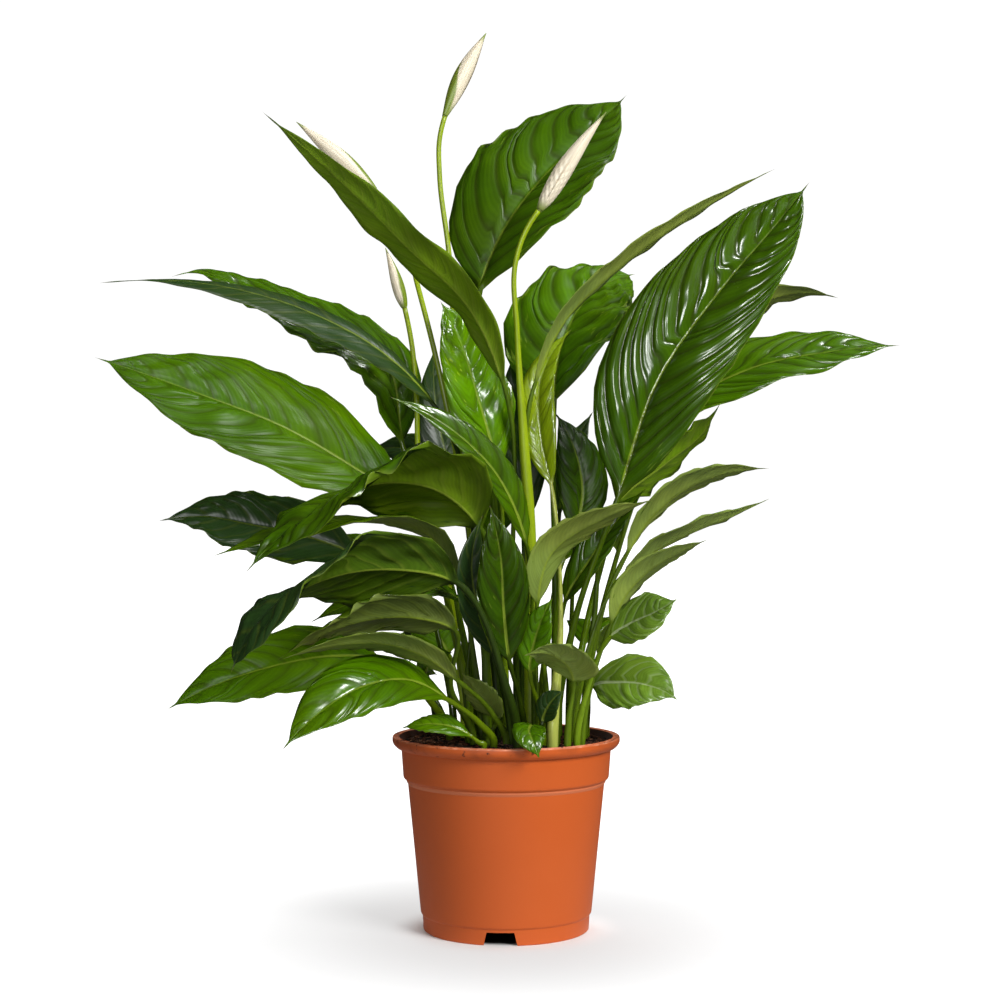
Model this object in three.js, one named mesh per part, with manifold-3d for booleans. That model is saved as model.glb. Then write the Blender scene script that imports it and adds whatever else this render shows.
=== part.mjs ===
// A peace lily in a 17 cm nursery pot: the pot, its peat, every leaf on its own
// stalk and four flowers still half rolled. Millimetres, +Z up, pot axis on Z.
// The plant is seen from -Y, and -X is the side of the long low leaves.
import * as THREE from "three";
import { mergeVertices } from "three/addons/utils/BufferGeometryUtils.js";
import Module from "manifold-3d";

const wasm = await Module();
wasm.setup();

// Driving dimensions of the pot.
const POT_HEIGHT = 144;
const RIM_RADIUS = 85;
const RIM_DEPTH = 8.2;
const RIM_WIDTH = 5.4;
const RIM_ROUNDING = 1.6;
const COLLAR_TOP_RADIUS = 78.4;
const COLLAR_FOOT_RADIUS = 76.8;
const COLLAR_BOTTOM = 112;
const BODY_TOP_RADIUS = 73.6;
const BODY_FOOT_RADIUS = 63.8;
const FOOT_RADIUS = 61.8;
const FOOT_HEIGHT = 12;
const FOOT_RING = 2.2;
const STEP_SLOPE = 1;
const STEP_INSIDE = 4;
const WALL = 2;
const BASE_PLATE = 12.6;
const BASE_PLATE_THICKNESS = 2.4;
const BASE_CORNER = 2;
const NOTCH_COUNT = 3;
const NOTCH_WIDTH = 25;
const NOTCH_HEIGHT = 9.6;
const NOTCH_TAPER = 2.5;
const NOTCH_TURN = -94;
const DRAIN_COUNT = 8;
const DRAIN_RADIUS = 5;
const DRAIN_CIRCLE = 44;
const DRAIN_SIDES = 10;
const POT_SIDES = 44;
const CUT_LENGTH = 20;

// Driving dimensions of the peat.
const SOIL_LEVEL = 140;
const SOIL_MOUND = 1.3;
const LUMP_HEIGHT = 1.1;
const LUMP_TURNS = [0.13, 0.11, 0.23, 0.17];
const SOIL_GAP = 0.35;
const SOIL_RINGS = 5;
const SOIL_SIDES = 28;

// Stalks stand in plain holes in the peat: buried so deep, straight for a short
// way above the ground, then leaning over.
const ROOTED = 14;
const STRAIGHT_ABOVE = 4;
const LEAN = 0.3;
const HOLE_GAP = 0.35;
const HOLE_SIDES = 6;
const HOLE_HEADROOM = 10;

// A leaf's stalk: its radius at the foot and at the blade for a blade of no
// width, what each millimetre of width adds, how far up it thins, and the knee
// just below the blade.
const FOOT_STALK = 1.9;
const FOOT_STALK_PER_WIDTH = 0.019;
const END_STALK = 1.1;
const END_STALK_PER_WIDTH = 0.011;
const THINS_UNTIL = 0.8;
const KNEE_AT = 0.93;
const KNEE_SPREAD = 0.05;
const KNEE_SWELL = 0.3;

// A sheath widens some stalks near the foot. It fades out between these shares
// of a leaf's stalk, or of a flower's.
const LEAF_SHEATH = [0.1, 0.6];
const FLOWER_SHEATH = [0.45, 0.8];

// A leaf's blade: its thickness, the share of its length over which the stalk
// opens into it, how full its base and sides are, and the rib below it.
const BLADE_THICKNESS = 0.8;
const BLADE_OPENS = 0.07;
const BASE_FULLNESS = 0.75;
const SIDE_FULLNESS = 2.3;
const TIP_KEPT = 0.985;
const RIB_SHARE = 0.8;
const RIB_THINS = 0.6;

// Cross sections: how far out on the blade each point of a ring lies, upper face
// first from right to left, then the lower face back again.
const WIDE_RING = [1, 0.5, 0, -0.5, -1];
const SLIM_RING = [1, 0, -1];

const PLASTIC = new THREE.MeshStandardMaterial({ color: 0xc8622f, roughness: 0.45 });
const PEAT = new THREE.MeshStandardMaterial({ color: 0x33241a, roughness: 1 });
const DEEP_GREEN = new THREE.MeshStandardMaterial({ color: 0x44681a, roughness: 0.3 });
const DARK_GREEN = new THREE.MeshStandardMaterial({ color: 0x263f1a, roughness: 0.3 });
const BRIGHT_GREEN = new THREE.MeshStandardMaterial({ color: 0x567d1c, roughness: 0.3 });
const OLIVE_GREEN = new THREE.MeshStandardMaterial({ color: 0x5e7030, roughness: 0.5 });
const PALE_GREEN = new THREE.MeshStandardMaterial({ color: 0x8fa83c, roughness: 0.4 });
const STALK_GREEN = new THREE.MeshStandardMaterial({ color: 0x86b02c, roughness: 0.4 });
const CREAM = new THREE.MeshStandardMaterial({ color: 0xf0e8d2, roughness: 0.5 });

// Each leaf: its foot on the peat, then the middle line of the blade from its
// base to its tip, the full width, the way its upper face looks at base and tip,
// and what sets it apart. via is a point its stalk passes, slender makes the stalk
// thinner, and sheath is how many times as wide its foot is. shoulder is the share
// of the length where the blade is widest, and a larger tail draws the tip out
// longer. fold lifts both edges, curl lets them droop again, and wave is the
// height, number and start of the edge's ripples. wide leaves have more points to
// a ring.
const LEAVES = [
  { name: "leaf_01", foot: [8, 4], line: [[-1, -25, 402], [-29, -45, 462], [-68, -65, 498],
    [-113, -85, 541], [-170, -105, 590]], width: 40, faces: [[0.5, 0.6, 0.6], [0.4, 0.7, 0.6]],
    tail: 1.2, wave: [2, 4, 0], wide: true, paint: OLIVE_GREEN },
  { name: "leaf_02", foot: [-4, 14], line: [[-20, 25, 480], [-1, 38, 528], [30, 52, 571],
    [65, 64, 606], [95, 70, 638]], width: 118, faces: [[-0.45, -0.8, 0.35], [-0.5, -0.7, 0.4]],
    shoulder: 0.46, tail: 0.9, fold: 0.22, wave: [2, 3, 1], wide: true, paint: DEEP_GREEN },
  { name: "leaf_03", foot: [38, 22], line: [[37, 40, 397], [44, 62, 441], [66, 88, 481],
    [105, 120, 503]], width: 99, faces: [[-0.45, -0.7, 0.45], [-0.1, -0.7, 0.65]], tail: 0.9,
    fold: 0.22, wave: [3, 4, 0], wide: true, paint: DEEP_GREEN },
  { name: "leaf_04", foot: [22, 2], line: [[20, -8, 402], [42, -12, 451], [85, -18, 493],
    [144, -24, 534], [197, -28, 563]], width: 31, faces: [[-0.7, 0.25, 0.6], [-0.5, 0.3, 0.8]],
    fold: 0.2, paint: OLIVE_GREEN },
  { name: "leaf_05", foot: [36, -40], line: [[81, -42, 321], [111, -40, 408], [158, -36, 475],
    [202, -32, 527], [223, -30, 554]], width: 91, faces: [[-0.3, -0.95, 0.2],
    [-0.3, -0.9, 0.3]], shoulder: 0.4, tail: 0.76, fold: 0.2, wave: [1.5, 3, 0], wide: true,
    paint: DEEP_GREEN },
  { name: "leaf_06", foot: [51, 8], via: [74, 54, 268], line: [[112, 34, 372], [148, 30, 401],
    [193, 25, 422], [244, 20, 432], [298, 16, 437]], width: 56, faces: [[-0.4, -0.7, 0.6],
    [-0.1, -0.7, 0.7]], tail: 0.95, fold: 0.15, wave: [2, 3, 2], wide: true,
    paint: DEEP_GREEN },
  { name: "leaf_07", foot: [60, 28], line: [[145, 78, 413], [181, 80, 461], [220, 80, 482],
    [262, 76, 479]], width: 33, faces: [[-0.5, 0.4, 0.7], [0, 0.5, 0.85]], paint: OLIVE_GREEN },
  { name: "leaf_08", foot: [58, -6], line: [[84, 22, 318], [121, 36, 347], [153, 50, 373],
    [168, 58, 398]], width: 54, faces: [[-0.4, 0.6, 0.6], [-0.6, 0.3, 0.7]], wave: [4, 4, 0],
    wide: true, paint: DARK_GREEN },
  { name: "leaf_09", foot: [50, -18], line: [[89, -12, 279], [107, -18, 307], [136, -24, 330],
    [164, -30, 340], [192, -34, 343]], width: 39, faces: [[-0.7, 0.35, 0.6], [0.1, 0.4, 0.9]],
    fold: 0.2, paint: OLIVE_GREEN },
  { name: "leaf_10", foot: [46, -30], line: [[85, -30, 264], [106, -36, 281], [134, -46, 296],
    [160, -54, 307], [189, -60, 321]], width: 32, faces: [[-0.6, 0.35, 0.7], [-0.3, 0.35, 0.9]],
    fold: 0.25, wave: [1.5, 3, 0], paint: OLIVE_GREEN },
  { name: "leaf_11", foot: [55, -40], line: [[76, -50, 230], [87, -56, 253], [103, -64, 270],
    [122, -74, 282], [142, -84, 292]], width: 36, faces: [[-0.6, 0.45, 0.6], [-0.3, 0.5, 0.8]],
    fold: 0.2, paint: OLIVE_GREEN },
  { name: "leaf_12", foot: [51, -48], line: [[74, -70, 222], [89, -80, 233], [104, -92, 241],
    [119, -100, 251]], width: 40, faces: [[-0.4, -0.7, 0.6], [-0.2, -0.8, 0.55]],
    shoulder: 0.45, paint: BRIGHT_GREEN },
  { name: "leaf_13", foot: [62, 18], line: [[65, 8, 179], [83, -8, 184], [101, -22, 184],
    [115, -31, 180], [125, -38, 174]], width: 46, faces: [[-0.05, -0.9, 0.45],
    [0.2, -0.9, 0.4]], shoulder: 0.45, tail: 1.1, slender: 0.5, paint: BRIGHT_GREEN },
  { name: "leaf_14", foot: [-27, -8], line: [[-70, -4, 313], [-115, -12, 345], [-163, -22, 373],
    [-226, -32, 398], [-300, -40, 424]], width: 87, faces: [[0.3, -0.75, 0.6],
    [0.2, -0.85, 0.5]], shoulder: 0.42, tail: 0.95, wave: [1.5, 3, 0], wide: true,
    paint: BRIGHT_GREEN },
  { name: "leaf_15", foot: [-6, -8], line: [[-51, -12, 387], [-88, -14, 426], [-144, -17, 458],
    [-208, -20, 477], [-255, -21, 482], [-300, -22, 480]], width: 38, faces: [[0.4, -0.5, 0.7],
    [0, -0.5, 0.9]], tail: 2.4, curl: 0.3, wide: true, paint: DARK_GREEN },
  { name: "leaf_16", foot: [-24, 20], line: [[-79, 30, 362], [-93, 36, 426], [-142, 38, 456],
    [-197, 38, 481], [-238, 36, 495], [-256, 34, 491]], width: 67, faces: [[0.6, -0.6, 0.5],
    [0.2, -0.5, 0.8]], shoulder: 0.32, curl: 0.1, wave: [2, 4, 0], wide: true,
    paint: DEEP_GREEN },
  { name: "leaf_17", foot: [0, -22], line: [[-7, -16, 344], [-21, -14, 395], [-34, -10, 437],
    [-49, -10, 468]], width: 52, faces: [[0.3, -0.85, 0.4], [0.3, -0.85, 0.4]], tail: 0.8,
    fold: 0.2, wave: [1.5, 3, 0], wide: true, paint: BRIGHT_GREEN },
  { name: "leaf_18", foot: [21, -22], line: [[15, -38, 286], [-10, -46, 342], [-39, -54, 370],
    [-84, -62, 394]], width: 28, faces: [[0.4, -0.8, 0.4], [0.3, -0.7, 0.6]], fold: 0.3,
    paint: DEEP_GREEN },
  { name: "leaf_19", foot: [-14, -28], line: [[-19, -48, 300], [-51, -66, 328], [-89, -84, 332],
    [-137, -104, 309], [-180, -122, 269]], width: 102, faces: [[0.25, 0.8, 0.5],
    [-0.4, -0.6, 0.6]], shoulder: 0.3, curl: 0.1, wave: [4, 4, 0], wide: true,
    paint: DEEP_GREEN },
  { name: "leaf_20", foot: [-18, -18], line: [[-35, -34, 258], [-55, -40, 294], [-98, -48, 304],
    [-154, -66, 296], [-208, -84, 280]], width: 52, faces: [[0.5, 0.5, 0.7], [-0.1, -0.5, 0.9]],
    paint: OLIVE_GREEN },
  { name: "leaf_21", foot: [-53, 37], line: [[-114, 36, 276], [-154, 34, 292], [-196, 30, 301],
    [-229, 26, 307], [-264, 22, 304]], width: 65, faces: [[0.3, -0.75, 0.6], [-0.1, -0.7, 0.7]],
    wave: [2, 3, 0], wide: true, paint: DARK_GREEN },
  { name: "leaf_23", foot: [8, -52], via: [-1, -71, 190], line: [[-35, -90, 262],
    [-74, -112, 272], [-118, -134, 268], [-157, -152, 247], [-184, -162, 204]], width: 82,
    faces: [[0.25, 0.85, 0.45], [-0.7, -0.6, 0.3]], curl: 0.1, tail: 0.6, wave: [2, 4, 0],
    wide: true, paint: DARK_GREEN },
  { name: "leaf_24", foot: [-28, -22], line: [[-30, -20, 241], [-54, -32, 256], [-88, -48, 252],
    [-141, -66, 232]], width: 40, faces: [[0.4, -0.3, 0.9], [-0.2, -0.5, 0.9]],
    paint: DEEP_GREEN },
  { name: "leaf_25", foot: [-24, -37], via: [-40, -54, 184], line: [[-37, -76, 228],
    [-61, -92, 237], [-97, -112, 237], [-128, -128, 227], [-155, -140, 212]], width: 54,
    faces: [[0.25, 0.8, 0.5], [-0.3, 0.1, 0.9]], wave: [2, 3, 0], wide: true,
    paint: OLIVE_GREEN },
  { name: "leaf_26", foot: [0, -43], line: [[-34, -82, 192], [-54, -98, 209], [-84, -118, 221],
    [-117, -136, 221], [-151, -150, 213]], width: 34, faces: [[0.35, 0.65, 0.6], [0, 0.4, 0.9]],
    paint: OLIVE_GREEN },
  { name: "leaf_27", foot: [-42, -6], line: [[-92, -34, 203], [-128, -42, 206],
    [-171, -52, 199], [-213, -60, 185], [-243, -66, 170]], width: 60, faces: [[0.2, -0.7, 0.7],
    [-0.2, -0.7, 0.7]], tail: 1.05, wave: [1.5, 3, 0], wide: true, paint: BRIGHT_GREEN },
  { name: "leaf_28", foot: [-9, -51], line: [[-42, -72, 178], [-69, -98, 194], [-99, -126, 192],
    [-128, -150, 175], [-149, -168, 154]], width: 50, faces: [[0.3, -0.6, 0.7],
    [-0.4, -0.8, 0.4]], shoulder: 0.5, paint: BRIGHT_GREEN },
  { name: "leaf_29", foot: [-13, -38], line: [[-7, -42, 160], [-15, -46, 172], [-24, -48, 184],
    [-32, -50, 195]], width: 34, faces: [[0.5, 0.6, 0.5], [0.5, 0.6, 0.5]],
    paint: OLIVE_GREEN },
  { name: "leaf_30", foot: [-16, -59], line: [[-26, -62, 151], [-42, -64, 158], [-59, -62, 159],
    [-75, -58, 156]], width: 22, faces: [[0.3, -0.5, 0.8], [-0.2, -0.5, 0.8]],
    paint: BRIGHT_GREEN },
  { name: "leaf_31", foot: [17, -54], line: [[19, -62, 157], [16, -82, 156], [19, -91, 149],
    [23, -94, 139]], width: 24, faces: [[0, -0.4, 0.9], [0, -1, 0.2]], shoulder: 0.45,
    paint: BRIGHT_GREEN },
  { name: "leaf_32", foot: [14, -37], line: [[2, -60, 205], [-2, -70, 242], [-4, -76, 278],
    [-12, -78, 317]], width: 38, faces: [[0.1, -1, 0.1], [0, -1, 0.1]], fold: 0.2, wide: true,
    paint: DEEP_GREEN },
  { name: "leaf_33", foot: [27, -40], line: [[17, -56, 196], [21, -60, 221], [27, -64, 238],
    [33, -66, 250]], width: 26, faces: [[-0.3, -0.9, 0.2], [-0.3, -0.9, 0.3]], fold: 0.2,
    paint: BRIGHT_GREEN },
  { name: "leaf_34", foot: [44, -55], line: [[48, -66, 190], [40, -86, 206], [27, -99, 213],
    [12, -108, 212]], width: 44, shoulder: 0.25, tail: 1.25, faces: [[0.4, 0.8, 0.4],
    [0.3, 0.7, 0.5]], paint: OLIVE_GREEN },
  { name: "leaf_35", foot: [31, -28], line: [[22, -60, 244], [32, -74, 282], [66, -90, 306],
    [102, -104, 320]], width: 36, faces: [[-0.5, 0.65, 0.45], [-0.3, 0.5, 0.8]], fold: 0.15,
    paint: OLIVE_GREEN },
  { name: "leaf_36", foot: [40, 10], line: [[44, 6, 242], [63, 2, 275], [84, 0, 305],
    [105, -2, 329]], width: 30, faces: [[-0.5, -0.7, 0.4], [-0.4, -0.7, 0.5]], fold: 0.3,
    paint: DARK_GREEN },
  { name: "leaf_37", foot: [48, 34], line: [[54, 36, 293], [59, 42, 328], [53, 48, 359],
    [38, 56, 388]], width: 40, faces: [[0, -0.9, 0.3], [0.2, -0.8, 0.4]], paint: DARK_GREEN },
  { name: "leaf_38", foot: [38, 44], line: [[42, 64, 310], [46, 70, 336], [55, 78, 363],
    [69, 84, 390]], width: 26, faces: [[-0.3, -0.8, 0.4], [-0.4, -0.7, 0.5]],
    paint: DARK_GREEN },
  { name: "leaf_39", foot: [33, -61], via: [40, -30, 236], line: [[34, 0, 330], [26, 6, 370],
    [27, 14, 413], [50, 22, 450]], width: 28, faces: [[-0.3, -0.9, 0.1], [-0.3, -0.9, 0.1]],
    fold: 0.3, sheath: 1.9, paint: PALE_GREEN },
  { name: "leaf_40", foot: [-14, 40], line: [[-30, 60, 325], [-55, 72, 350], [-84, 84, 361],
    [-111, 92, 358]], width: 44, faces: [[0.3, -0.7, 0.6], [0, -0.7, 0.7]], paint: DARK_GREEN },
  { name: "leaf_41", foot: [-26, 34], line: [[-30, 45, 300], [-46, 58, 352], [-56, 74, 402],
    [-57, 86, 443]], width: 38, faces: [[0.2, -0.9, 0.3], [0.1, -0.9, 0.3]],
    paint: DARK_GREEN },
  { name: "leaf_42", foot: [12, 38], line: [[14, 60, 300], [13, 74, 350], [11, 86, 400],
    [9, 98, 450]], width: 40, faces: [[0, -0.9, 0.3], [0, -0.9, 0.3]], paint: DARK_GREEN },
  { name: "leaf_43", foot: [3, -33], line: [[-9, -52, 207], [-22, -58, 247], [-25, -62, 277],
    [-17, -64, 309]], width: 28, faces: [[0.4, -0.9, 0.1], [0.4, -0.9, 0.1]],
    paint: DARK_GREEN },
  { name: "leaf_44", foot: [24, -60], line: [[26, -59, 160], [30, -64, 172], [35, -68, 179],
    [41, -71, 184]], width: 20, faces: [[-0.3, -0.8, 0.4], [-0.3, -0.8, 0.4]],
    paint: DARK_GREEN },
  { name: "leaf_45", foot: [-44, 10], line: [[-62, 14, 185], [-57, 4, 197], [-49, -6, 203],
    [-40, -14, 207]], width: 20, faces: [[0.3, -0.8, 0.5], [0.3, -0.8, 0.5]],
    paint: DEEP_GREEN },
  { name: "leaf_46", foot: [-40, 34], line: [[-72, 96, 262], [-96, 126, 286], [-124, 152, 286],
    [-150, 174, 262]], width: 56, faces: [[0.3, -0.4, 0.8], [-0.4, 0.4, 0.8]], wave: [2, 3, 0],
    paint: DEEP_GREEN },
  { name: "leaf_47", foot: [-10, 54], line: [[-10, 88, 288], [-14, 114, 336], [-22, 142, 376],
    [-32, 168, 400]], width: 62, faces: [[0.1, -0.7, 0.6], [0, -0.5, 0.9]], fold: 0.15,
    wave: [2, 3, 0], wide: true, paint: DEEP_GREEN },
  { name: "leaf_48", foot: [26, 56], line: [[46, 98, 272], [64, 124, 296], [80, 146, 296],
    [94, 168, 274]], width: 54, faces: [[-0.3, -0.4, 0.8], [0.4, 0.4, 0.8]], wave: [2, 3, 0],
    paint: BRIGHT_GREEN },
  { name: "leaf_49", foot: [-30, 50], line: [[-46, 92, 198], [-58, 118, 212], [-70, 142, 206],
    [-80, 162, 184]], width: 44, faces: [[0.2, -0.5, 0.8], [-0.2, 0.5, 0.8]],
    paint: BRIGHT_GREEN },
  { name: "leaf_50", foot: [50, 48], line: [[62, 84, 206], [69, 106, 222], [73, 130, 214],
    [76, 152, 192]], width: 42, faces: [[-0.3, -0.5, 0.8], [0.3, 0.5, 0.8]],
    paint: DEEP_GREEN },
];

// Each flower: its foot, the stalk's middle line above it, then the white leaf
// around the spike, from its base to its tip.
const FLOWERS = [
  { name: "flower_1", foot: [-8, 2], stalk: [[-32, -4, 330], [-43, -2, 507], [-50, 4, 565],
    [-50, 7, 592], [-46, 8, 609]],
    hood: [[-46, 8, 609.5], [-32, 12, 642], [-15, 14, 673]], girth: 8 },
  { name: "flower_2", foot: [-14, 17], stalk: [[-43, 8, 382], [-53, 10, 428], [-67, 8, 483],
    [-81, 6, 534], [-98, 4, 552]],
    hood: [[-98.4, 4, 552.5], [-124, 2, 576], [-157, 0, 603]], girth: 10.5 },
  { name: "flower_3", foot: [18, -14], stalk: [[18, -16, 287], [13, -20, 365], [8, -26, 444],
    [7, -30, 495], [12, -31, 512], [24, -33, 532]],
    hood: [[24.4, -33, 532.5], [47, -36, 569], [73, -38, 603]], girth: 10.5, sheath: 2 },
  { name: "flower_4", foot: [-32, 5], stalk: [[-66, 0, 359], [-67, 0, 395], [-71, 0, 439],
    [-76, -2, 464]], hood: [[-76.2, -2, 464.5], [-83, -4, 488], [-90, -6, 508]], girth: 5.5 },
];

const STALK_SIDES = 6;
const STALK_STEPS = 14;
const STALK_RADIUS = 2.4;
const STALK_TOP = 1.9;
const HOOD_SIDES = 8;
const HOOD_RINGS = 7;
const HOOD_KEPT = 0.98;
const HOOD_LEAN = 0.72;
const HOOD_FULLNESS = 1.1;
const FLOWER_FACE = [0.3, -0.9, 0.1];

function vector([x, y, z]) {
  return new THREE.Vector3(x, y, z);
}

// A smooth line through the given points. Its parameter is the distance along
// the straight pieces between them, so unequal steps stay smooth.
class Line {
  constructor(points) {
    this.points = points;
    this.marks = [0];
    for (let i = 1; i < points.length; i += 1) {
      this.marks.push(this.marks[i - 1] + points[i].distanceTo(points[i - 1]));
    }
    this.slopes = points.map((_, i) => this.slope(i));
    const last = points.length - 1;
    this.slopes[0] = this.chord(0);
    this.slopes[last] = this.chord(last - 1).multiplyScalar(2).sub(this.slopes[last - 1]);
  }

  chord(i) {
    const span = this.marks[i + 1] - this.marks[i];
    return this.points[i + 1].clone().sub(this.points[i]).divideScalar(span);
  }

  slope(i) {
    if (i === 0 || i === this.points.length - 1) {
      return new THREE.Vector3();
    }
    const before = this.marks[i] - this.marks[i - 1];
    const after = this.marks[i + 1] - this.marks[i];
    const sum = this.chord(i - 1).multiplyScalar(after).addScaledVector(this.chord(i), before);
    return sum.divideScalar(before + after);
  }

  at(distance) {
    let i = this.points.length - 2;
    while (i > 0 && distance < this.marks[i]) {
      i -= 1;
    }
    const span = this.marks[i + 1] - this.marks[i];
    const t = (distance - this.marks[i]) / span;
    const place = this.points[i].clone().multiplyScalar((1 + 2 * t) * (1 - t) ** 2);
    place.addScaledVector(this.slopes[i], span * t * (1 - t) ** 2);
    place.addScaledVector(this.points[i + 1], t * t * (3 - 2 * t));
    place.addScaledVector(this.slopes[i + 1], span * t * t * (t - 1));
    return place;
  }

  direction(distance) {
    const end = this.marks[this.marks.length - 1];
    const ahead = this.at(Math.min(distance + 0.5, end));
    return ahead.sub(this.at(Math.max(distance - 0.5, 0))).normalize();
  }
}

// The line of a leaf or flower from its buried end: straight up out of the peat,
// then leaning over to its first point, past the via point if it has one.
function rootedLine({ foot, via }, above) {
  const [x, y] = foot;
  const [nextX, nextY, nextZ] = above[0];
  const bend = [x + LEAN * (nextX - x), y + LEAN * (nextY - y), (SOIL_LEVEL + nextZ) / 2];
  const buried = [x, y, SOIL_LEVEL - ROOTED];
  const ground = [x, y, SOIL_LEVEL + STRAIGHT_ABOVE];
  const line = new Line([buried, ground, via ?? bend, ...above].map(vector));
  line.slopes[1] = line.chord(0);
  return line;
}

// Two unit vectors square to the line: across it, and out of the upper face.
function crossAxes(line, distance, face) {
  const along = line.direction(distance);
  const out = face.clone().addScaledVector(along, -face.dot(along)).normalize();
  return { across: along.clone().cross(out), out };
}

function blend(a, b, t) {
  return a.clone().lerp(b, t);
}

function easeBetween(low, high, value) {
  return THREE.MathUtils.smoothstep(value, low, high);
}

// Half the blade's width at a share t of its length: rounded at the base,
// widest at the shoulder and drawn out to a long point.
function halfWidth(leaf, t) {
  const { width, shoulder = 0.4, tail = 1.15 } = leaf;
  if (t < shoulder) {
    return 0.5 * width * Math.sin(0.5 * Math.PI * t / shoulder) ** BASE_FULLNESS;
  }
  const past = (t - shoulder) / (1 - shoulder);
  return 0.5 * width * (1 - past ** SIDE_FULLNESS) ** tail;
}

// How far the blade's middle surface stands out from its rib, at a share t of
// its length and c of its half width.
function rise(leaf, t, c) {
  const { width, fold = 0.1, curl = 0, wave = [0, 0, 0] } = leaf;
  const half = halfWidth(leaf, t);
  const [height, count, start] = wave;
  const ripple = height * c * c * Math.sin(2 * Math.PI * count * t + start + 2 * Math.sign(c));
  return half * (fold * Math.abs(c) - curl * c * c) + ripple * half / (0.5 * width);
}

// The points of one ring: a round stalk that opens into a thin blade as open
// goes from 0 to 1.
function leafRing(leaf, shape, distance, t, radius) {
  const { line, spread } = shape;
  const face = blend(vector(leaf.faces[0]), vector(leaf.faces[1]), t);
  const { across, out } = crossAxes(line, distance, face);
  const centre = line.at(distance);
  const open = easeBetween(0, BLADE_OPENS, t);
  const sides = spread.length;
  const place = (c, side, i) => {
    const turn = Math.PI * (i + 0.5) / sides;
    const rib = BLADE_THICKNESS / 2 + (side < 0 && c === 0 ? RIB_SHARE * radius * (1 - t) : 0);
    const flatX = c * Math.max(halfWidth(leaf, t), radius);
    const flatZ = rise(leaf, t, c) + side * rib;
    const roundX = radius * Math.cos(turn);
    const roundZ = side * radius * Math.sin(turn);
    const x = THREE.MathUtils.lerp(roundX, flatX, open);
    const z = THREE.MathUtils.lerp(roundZ, flatZ, open);
    return centre.clone().addScaledVector(across, x).addScaledVector(out, z);
  };
  const upper = spread.map((c, i) => place(c, 1, i));
  const lower = spread.map((c, i) => place(c, -1, i)).reverse();
  return [...upper, ...lower];
}

// A closed skin over rings of points. Both faces of a blade are split along the
// same diagonals, so that they stay the same distance apart.
function skin(rings, tip) {
  const count = rings[0].length;
  const points = rings.flat();
  const faces = [];
  for (let r = 0; r + 1 < rings.length; r += 1) {
    for (let i = 0; i < count; i += 1) {
      const a = r * count + i;
      const b = r * count + ((i + 1) % count);
      const c = a + count;
      const d = b + count;
      if (i < count / 2) {
        faces.push(a, d, b, a, c, d);
      } else {
        faces.push(a, c, b, b, c, d);
      }
    }
  }
  const start = points.length;
  points.push(centreOf(rings[0]), tip);
  const last = (rings.length - 1) * count;
  for (let i = 0; i < count; i += 1) {
    const next = (i + 1) % count;
    faces.push(start, i, next);
    faces.push(start + 1, last + next, last + i);
  }
  return geometryOf(points, faces);
}

function centreOf(points) {
  const sum = points.reduce((total, point) => total.add(point), new THREE.Vector3());
  return sum.divideScalar(points.length);
}

function geometryOf(points, faces) {
  const geometry = new THREE.BufferGeometry();
  const numbers = points.flatMap((point) => point.toArray());
  geometry.setAttribute("position", new THREE.Float32BufferAttribute(numbers, 3));
  geometry.setIndex(faces);
  geometry.computeVertexNormals();
  return geometry;
}

// How many times as wide a sheath makes a stalk, at a share u of its length.
function sheathed({ sheath = 1 }, [from, to], u) {
  return THREE.MathUtils.lerp(sheath, 1, easeBetween(from, to, u));
}

// A stalk thins from its foot to the blade, and swells a little just below it.
function stalkRadius(leaf, u) {
  const thick = FOOT_STALK + FOOT_STALK_PER_WIDTH * leaf.width;
  const thin = END_STALK + END_STALK_PER_WIDTH * leaf.width;
  const knee = 1 + KNEE_SWELL * Math.exp(-(((u - KNEE_AT) / KNEE_SPREAD) ** 2));
  const radius = THREE.MathUtils.lerp(thick, thin, easeBetween(0, THINS_UNTIL, u));
  return (leaf.slender ?? 1) * knee * radius * sheathed(leaf, LEAF_SHEATH, u);
}

function leafGeometry(leaf) {
  const line = rootedLine(leaf, leaf.line);
  const spread = leaf.wide ? WIDE_RING : SLIM_RING;
  const shape = { line, spread };
  const base = line.marks[3];
  const end = line.marks[line.marks.length - 1];
  const ground = line.marks[1];
  const stalkSteps = leaf.wide ? 5 : 4;
  const bladeSteps = leaf.wide ? 9 : 7;
  const rings = [leafRing(leaf, shape, 0, 0, stalkRadius(leaf, 0))];
  for (let j = 0; j < stalkSteps; j += 1) {
    const u = j / stalkSteps;
    rings.push(leafRing(leaf, shape, ground + u * (base - ground), 0, stalkRadius(leaf, u)));
  }
  for (let j = 0; j <= bladeSteps; j += 1) {
    const t = TIP_KEPT * (j / bladeSteps);
    const radius = stalkRadius(leaf, 1) * (1 - RIB_THINS * t);
    rings.push(leafRing(leaf, shape, base + t * (end - base), t, radius));
  }
  return skin(rings, line.at(end));
}

// The hole for a stalk: upright and a little wider than the stalk.
function holeGeometry([x, y], radius) {
  const height = ROOTED + HOLE_GAP + HOLE_HEADROOM;
  const hole = new THREE.CylinderGeometry(radius, radius, height, HOLE_SIDES);
  hole.rotateX(Math.PI / 2);
  return hole.translate(x, y, SOIL_LEVEL - ROOTED - HOLE_GAP + height / 2);
}

function ringAround(centre, across, out, radius, sides) {
  return Array.from({ length: sides }, (_, i) => {
    const turn = 2 * Math.PI * (i + 0.5) / sides;
    const point = centre.clone().addScaledVector(across, radius * Math.cos(turn));
    return point.addScaledVector(out, radius * Math.sin(turn));
  });
}

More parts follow.
